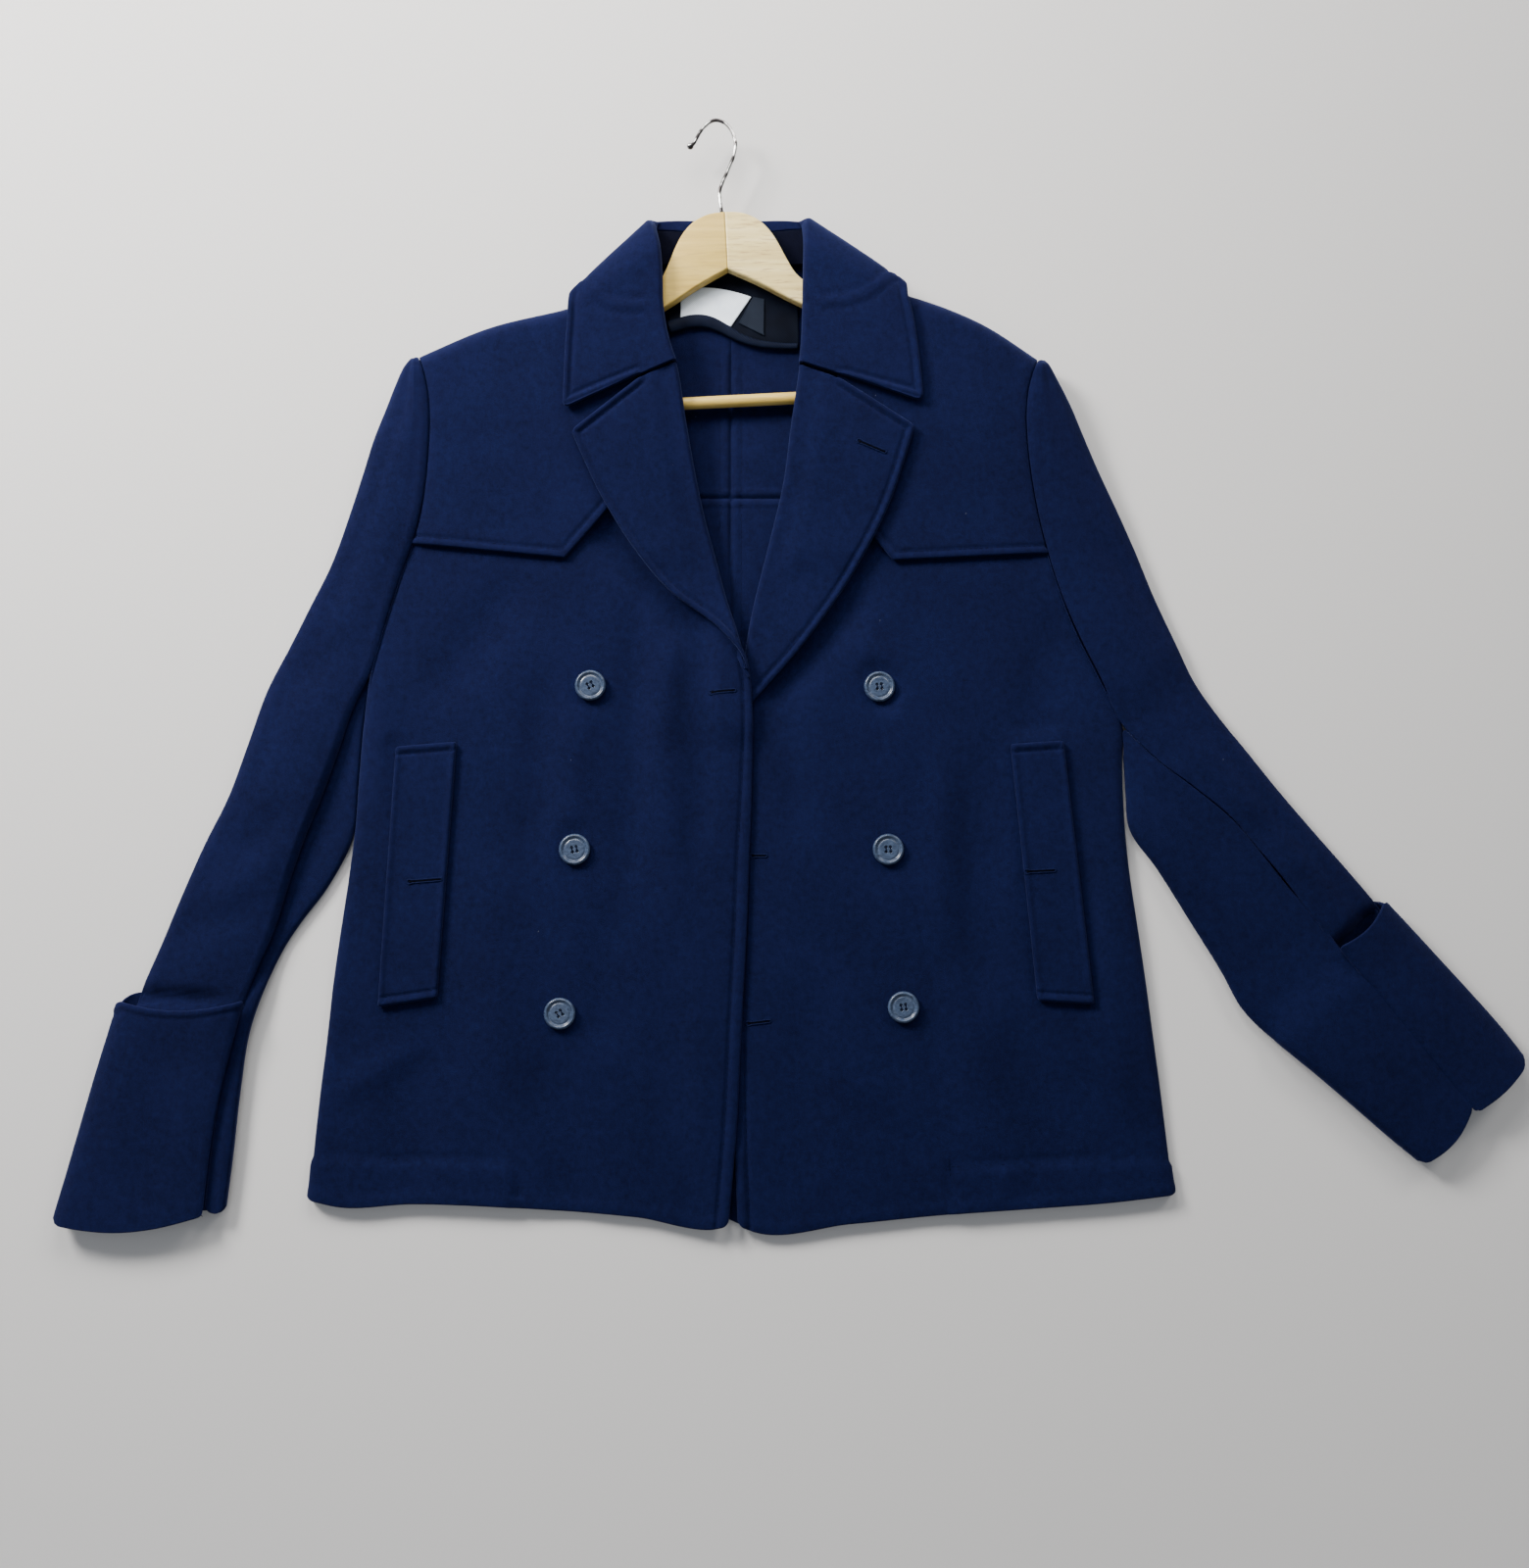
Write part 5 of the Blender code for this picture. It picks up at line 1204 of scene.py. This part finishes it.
    grid = sleeveTopGrid(which)
    grid[..., 2] += plied(grid, creases["sleeve_" + which])
    sheetOf("sleeveTop_" + which, "sleeve_top_" + which, grid, ["back_" + which], out=(sign, 0.4, 0.6))
    grid = roundCorners(sleeveUnderGrid(which), 8.0)
    grid[..., 2] += flushRise(which, grid)
    sheetOf("sleeveUnder_" + which, "sleeve_under_" + which, grid, ["sleeve_top_" + which],
            out=(-sign, -0.4, 0.2), relief=plied(grid, creases["sleeve_under"]))
    grid = roundCorners(cuffGrid(which), 4.0)
    edgeRun = grid[0, grid[:4, :, 2].mean(0) > 12.0, :2]
    sewnRun = sewnEdge(distanceTo(grid[..., 0], grid[..., 1], edgeRun), 6.5, 0.3, 0.9)
    relief = plied(grid, creases["cuff_" + which]) + sewnRun * (grid[..., 2] > 9.0)
    sheetOf("turnedCuff_" + which, "cuff_" + which, grid, ["sleeve_top_" + which],
            out=(sign, 0.2, 0.8), relief=relief)

grid = roundCorners(collarGrid(), 8.0, (0, 1, 0, 1))
outerEdge = grid[:, -1, :2]
free = [outerEdge, np.array([(-76, 687), outerEdge[0]]), np.array([(92, 686), outerEdge[-1]])]
distance = np.min([distanceTo(grid[..., 0], grid[..., 1], run) for run in free], axis=0)
sheetOf("collarFall", "collar", grid, ["lapel_right", "lapel_left", "storm_flap_right", "storm_flap_left"],
        cloth["folded"], out=(0, 0, -1), relief=sewnOnTop(grid, distance))
yokes = ["back_yoke_right", "back_yoke_left"]
# the collar stand wears the darker wool copy, painted shade inside the neck
sheetOf("collarStand", "collar_stand", standGrid(), yokes, look=collarStandShadedWool)

facing = {"wall": 1.5, "low": [(-53, 736), (-44, 739), (-32, 742), (-18, 741), (-6, 735.5), (6, 728.5),
                               (20, 723.5), (38, 721), (57, 720.5)],
          "high": [(-50, 779), (-30, 784), (0, 787), (30, 784), (56, 777)]}
u, v = np.linspace(0, 1, 60), np.linspace(0, 1, 34)[:, None, None]
plan = (1 - v) * curveAt(facing["low"], u)[None] + v * curveAt(facing["high"], u)[None]
x, y = plan[..., 0], plan[..., 1]
base = cloth["melton"] + cloth["lie"] + facing["wall"]
ripple = 0.35 * np.sin(x / 9.0 + y / 23.0) * np.sin(y / 14.0)
sheetOf("neckFacing", "neck_facing", np.dstack([plan, backLift(y) + base]), yokes, facing["wall"],
        satin, "facing", relief=np.abs(ripple))
along = np.linspace(0.01, 0.99, 90)
bandPath = curveAt([(x, y + 0.6) for x, y in facing["low"]], along)
bandHalf = np.interp(along, [0.0, 0.25, 0.6, 1.0], [5.2, 5.6, 3.4, 2.3])  # it rolls open to the left
bandPath = np.column_stack([bandPath, backLift(bandPath[:, 1]) + base + 0.8 + 0.12 * bandHalf])
meshPiece("facingPiping", *tube(bandPath, bandHalf, 24, height=0.7 + 0.28 * bandHalf), piping, "facing")

# labels: corners, cloth, slot, node, and how far the upper edge bows out
labels = {
    "neckLabel": ([(-42, 746), (0, 738), (17, 764), (-42, 771)], whiteSatin, "label", "neck_label", 4.0),
    "sizeLabel": ([(6.5, 741), (28, 730), (28, 762), (18.5, 764)], greySatin, "size_label", "size_label", 0),
}
for name, (corners, look, slot, node, bow) in labels.items():
    u, v = np.linspace(0, 1, 40), np.linspace(0, 1, 24)
    plan = fourCorners(corners, u, v)
    plan[..., 1] += bow * np.outer(v, np.sin(np.pi * u))
    top = backLift(plan[..., 1]) + base + cloth["seam"] + 0.8
    wave = 0.3 * np.sin(plan[..., 0] / 7.0 + 1.0) * np.linspace(1, 0.1, 24)[:, None]
    sheetOf(name, node, np.dstack([plan, top]), ["neck_facing"], 0.8, look, slot, relief=np.abs(wave))

# buttonholes: a slit between two beads of thread, with a round eye at one end
buttonholes = {
    "lapel_left": [(105, 633, 126, 624)], "front_right": [(-15, 428, 4, 429)],
    "front_left": [(18, 296, 29, 296), (15, 163, 32, 165)],
    "welt_right": [(-255, 275, -230, 277)], "welt_left": [(237, 283, 259, 284)],
}
beads, slits = [], []
for node, holes in buttonholes.items():
    for x0, y0, x1, y1 in holes:
        a, b = np.array([x0, y0], float), np.array([x1, y1], float)
        run = unit(b - a)
        normal = np.array([-run[1], run[0]])
        turn = np.radians(np.linspace(-90, 90, 9))[:, None]
        loop = np.concatenate([
            b + 1.15 * (run * np.cos(turn) + normal * np.sin(turn)),
            polylineAt([b + 1.15 * normal, a + run * 2.4 + 1.15 * normal], np.linspace(0.08, 1, 24)),
            a + 1.8 * (-run * np.cos(turn * 1.1) + normal * np.sin(-turn * 1.1)),
            polylineAt([a + run * 2.4 - 1.15 * normal, b - 1.15 * normal], np.linspace(0, 0.92, 24))])
        worn = 0.12 * np.sin(np.arange(len(loop)) * 2.4) + 0.08 * np.sin(np.arange(len(loop)) * 0.9 + x0)
        beads.append(tube(settle(loop, skins[node], 0.15), 0.58 + worn, 8, closed=True))
        slit = settle(polylineAt([a, b], np.linspace(0, 1, 16)), skins[node], 0.15)
        wide = np.interp(np.linspace(0, 1, 16), [0, 0.1, 1], [1.0, 0.6, 0.5])
        slits.append(tube(slit, wide, 8, height=0.25))

meshPiece("buttonholeBeads", *joined(beads), beadThread, "melton")
# the slits are painted shade: near-black cords where the cut opens
meshPiece("buttonholeSlits", *joined(slits), slitPaintedShade, "melton")

# buttons: a turned disc, height over the middle of its underside by radius
button = {"holeRadius": 1.2, "holeAway": 2.6, "holeDepth": 1.8, "around": 96,
          "turns": {"right": (28, 12, 30), "left": (4, 2, 8)}}
buttonTop = [(0.0, 3.0), (5.0, 3.15), (7.6, 3.1), (8.6, 2.75), (9.3, 3.0), (10.0, 3.75), (10.7, 4.15),
             (11.3, 4.1), (11.9, 3.6), (12.3, 3.0), (12.5, 2.5)]
buttonLow = [(12.4, 1.9), (12.0, 1.2), (11.0, 0.6), (9.5, 0.15), (8.0, 0.0), (4.0, 0.0)]


def buttonParts(middle, turned):
    a = np.linspace(0, 2 * np.pi, button["around"], endpoint=False)
    inner = np.concatenate([np.arange(0.3, 4.6, 0.2), np.linspace(4.8, 12.5, 28)])
    section = np.array([*zip(inner, valueAt(buttonTop, inner)), *buttonLow])
    x, y = section[:, :1] * np.cos(a), section[:, :1] * np.sin(a)
    z = section[:, 1:] + 0 * a
    for k in range(4):
        turn = math.radians(45 + 90 * k + turned)
        away = np.hypot(x - button["holeAway"] * math.cos(turn), y - button["holeAway"] * math.sin(turn))
        sunk = button["holeDepth"] * (1 - smooth((away - button["holeRadius"] + 0.25) / 0.35))
        z = z - sunk * (np.arange(len(section)) < len(inner))[:, None]
    points = np.dstack([x, y, z]) + middle
    return points.reshape(-1, 3), rings(len(section), button["around"])


print("buttons")
for which in sides:
    for number in (1, 2, 3):
        node = f"button_{which}_{number}"
        low, high = (np.array(corner) / mm + [*coatMiddle, 0.0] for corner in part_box(node))
        middle = np.array([*((low + high) / 2)[:2], low[2]])
        turned = button["turns"][which][number - 1]
        meshPiece(f"coatButton_{which}_{number}", *buttonParts(middle, turned), plastic, "button", (node,))
        cos, sin = math.cos(math.radians(turned)), math.sin(math.radians(turned))
        for across in (-1.84, 1.84):  # thread between the holes, over the button's middle
            t = np.linspace(-1, 1, 15)
            local = np.stack([across + 0 * t, t * 1.9, 2.7 + 0.5 * (1 - t ** 4)], axis=1)
            bar = local @ np.array([[cos, sin, 0], [-sin, cos, 0], [0, 0, 1]]) + middle
            sewn.append(tube(bar, 0.42, 8))

print("stitches")
meshPiece("coatStitches", *joined(sewn), thread, "melton")

print("hanger")
hanger = {"apex": (-5.0, 832.0), "turn": 3.0, "thick": 11.0, "round": 2.0, "mid": 18.75, "fall": 0.05,
          "barY": -159.5, "barRadius": 5.0, "barEnd": 197.7, "wire": 1.5, "ball": 2.8}
armTop = [(0.05, 0), (14, -1.5), (26, -7), (36, -17), (43, -29), (49, -42), (56, -55), (68, -66),
          (90, -78), (130, -95), (170, -113), (200, -131), (214, -144), (218, -154), (213, -163)]
armLow = [(0.05, -49), (25, -62), (52, -78), (90, -97), (130, -114), (170, -134), (196, -149),
          (200, -158), (205, -167)]
hook = [(-7.6, 832.2), (-8.9, 843), (-9.2, 853), (-7.4, 858), (-2.3, 870), (2.6, 883), (3.8, 891.5),
        (2.2, 899), (-2.3, 907), (-8.0, 911.4), (-13.8, 912.3), (-19.6, 909.3), (-24.3, 904.5),
        (-28.3, 898), (-31.8, 891.8), (-36.5, 888.5)]


def onHanger(points):  # from the hanger's frame: dropped towards the bar, then turned
    tilt, turn = math.atan(hanger["fall"]), math.radians(hanger["turn"])
    x, y, z = np.moveaxis(np.asarray(points, float), -1, 0)
    y, z = y * math.cos(tilt) - z * math.sin(tilt), y * math.sin(tilt) + z * math.cos(tilt)
    x, y = x * math.cos(turn) - y * math.sin(turn), x * math.sin(turn) + y * math.cos(turn)
    return np.stack([x + hanger["apex"][0], y + hanger["apex"][1], z + hanger["mid"]], axis=-1)


def armParts(sign):  # a rounded rectangle carried along between the arm's two edges
    t = crowd(120, 0.3)
    top, low = curveAt(armTop, t), curveAt(armLow, t)
    width = np.linalg.norm(low - top, axis=1)
    down = (low - top) / width[:, None]
    r, half = hanger["round"], hanger["thick"] / 2
    corner = np.radians(np.linspace(0, 90, 6))
    across, high = [], []
    for k, (atEnd, up) in enumerate(((0, 1), (1, 1), (1, -1), (0, -1))):
        swing = corner if k in (0, 2) else corner[::-1]
        for a in swing:
            inset = r * (1 - math.cos(a))
            across.append((atEnd, inset if atEnd == 0 else -inset))
            high.append(up * (half - r + r * math.sin(a)))
    across = np.array(across)
    spot = across[None, :, 0] * width[:, None] + across[None, :, 1]
    plan = top[:, None] + down[:, None] * spot[..., None]
    points = np.dstack([plan, np.broadcast_to(high, spot.shape)]) * [sign, 1, 1]
    return onHanger(points).reshape(-1, 3), rings(*spot.shape)


# beech tones of the arms: grain and flecks are the wood's own; the right arm's darker tones are painted
# shade, as if that arm were turned from the light
beechTonesAndShade = {
    "right": ((0.50, 0.32, 0.065), (0.62, 0.43, 0.10), (0.71, 0.52, 0.15), 0.25),
    "left": ((0.58, 0.42, 0.15), (0.76, 0.60, 0.25), (0.88, 0.74, 0.38), 0.6),
}
for which in sides:
    wood = beech("beech_" + which, *beechTonesAndShade[which])
    meshPiece("hangerArm_" + which, *armParts(signOf[which]), wood, "wood", ("hanger_arm_" + which,))
bar = np.column_stack([np.linspace(-hanger["barEnd"], hanger["barEnd"], 40), np.full(40, hanger["barY"]),
                       np.zeros(40)])
# the bar takes the right arm's darker tones, the painted shade among them
wood = beech("beechBar", *beechTonesAndShade["right"])
meshPiece("hangerBar", *tube(onHanger(bar), hanger["barRadius"], 40), wood, "wood", ("hanger_bar",))
at = np.concatenate([np.linspace(0, 0.95, 100), np.linspace(0.953, 1, 18)])
path = curveAt(hook, at)
path = np.column_stack([path, hanger["mid"] + (path[:, 1] - hanger["apex"][1]) * hanger["fall"]])
left = lengthsAlong(path)[-1] - lengthsAlong(path)
ball, wire = hanger["ball"], hanger["wire"]  # the wire ends in a ball: sqrt(ball ** 2 - (left - ball) ** 2)
ballAt = np.sqrt(np.clip(ball ** 2 - (left - ball) ** 2, 0.04, None))
radius = np.where(left > ball, np.maximum(ballAt, wire), ballAt)
radius = np.where(left < 2 * ball, radius, wire)
meshPiece("hangerHook", *tube(path, radius, 20), steel, "steel", ("hanger_hook",))


# floor, light and camera
floorLook = makeMaterial("paleFloor", (0.62, 0.61, 0.60), 0.85)
floorMesh = bpy.data.meshes.new("floor")
floorMesh.from_pydata([(-4, -4, 0), (4, -4, 0), (4, 4, 0), (-4, 4, 0)], [], [(0, 1, 2, 3)])
floorMesh.materials.append(floorLook)
floor = bpy.data.objects.new("floor", floorMesh)
bpy.context.scene.collection.objects.link(floor)

lights = [  # name, place, aim, size, watts, colour
    ("key", (2.30, 2.90, 2.10), (0.0, 0.0, 0.0), 1.1, 62.0, (1.0, 0.97, 0.93)),
    ("side", (-1.40, 1.15, 1.05), (0.0, 0.10, 0.0), 0.6, 82.0, (1.0, 0.98, 0.96)),
    ("top", (-0.20, 1.10, 0.85), (-0.02, 0.30, 0.0), 0.7, 17.0, (1.0, 0.98, 0.96)),
    ("fill", (-1.0, -0.9, 2.4), (0.0, 0.0, 0.0), 2.4, 9.0, (0.86, 0.91, 1.0)),
]
for name, place, aim, size, watts, colour in lights:
    lamp = bpy.data.lights.new(name, "AREA")
    lamp.size, lamp.energy, lamp.color = size, watts, colour
    made = bpy.data.objects.new(name, lamp)
    made.location = place
    turn = math.atan2(aim[1] - place[1], aim[0] - place[0])
    flat = math.hypot(aim[0] - place[0], aim[1] - place[1])
    made.rotation_euler = (math.atan2(flat, place[2] - aim[2]), 0.0, turn - math.pi / 2)
    bpy.context.scene.collection.objects.link(made)
world = bpy.data.worlds.new("room")
world.use_nodes = True
world.node_tree.nodes["Background"].inputs["Color"].default_value = (0.90, 0.94, 1.0, 1.0)
world.node_tree.nodes["Background"].inputs["Strength"].default_value = 0.30
bpy.context.scene.world = world

lens = bpy.data.cameras.new("camera")
lens.lens = 35.24
lens.sensor_width = 36.0
camera = bpy.data.objects.new("camera", lens)
camera.location = (-0.02214, -0.2443, 1.238)
camera.rotation_euler = (math.radians(6.5), 0.0, 0.0)
bpy.context.scene.collection.objects.link(camera)
bpy.context.scene.camera = camera
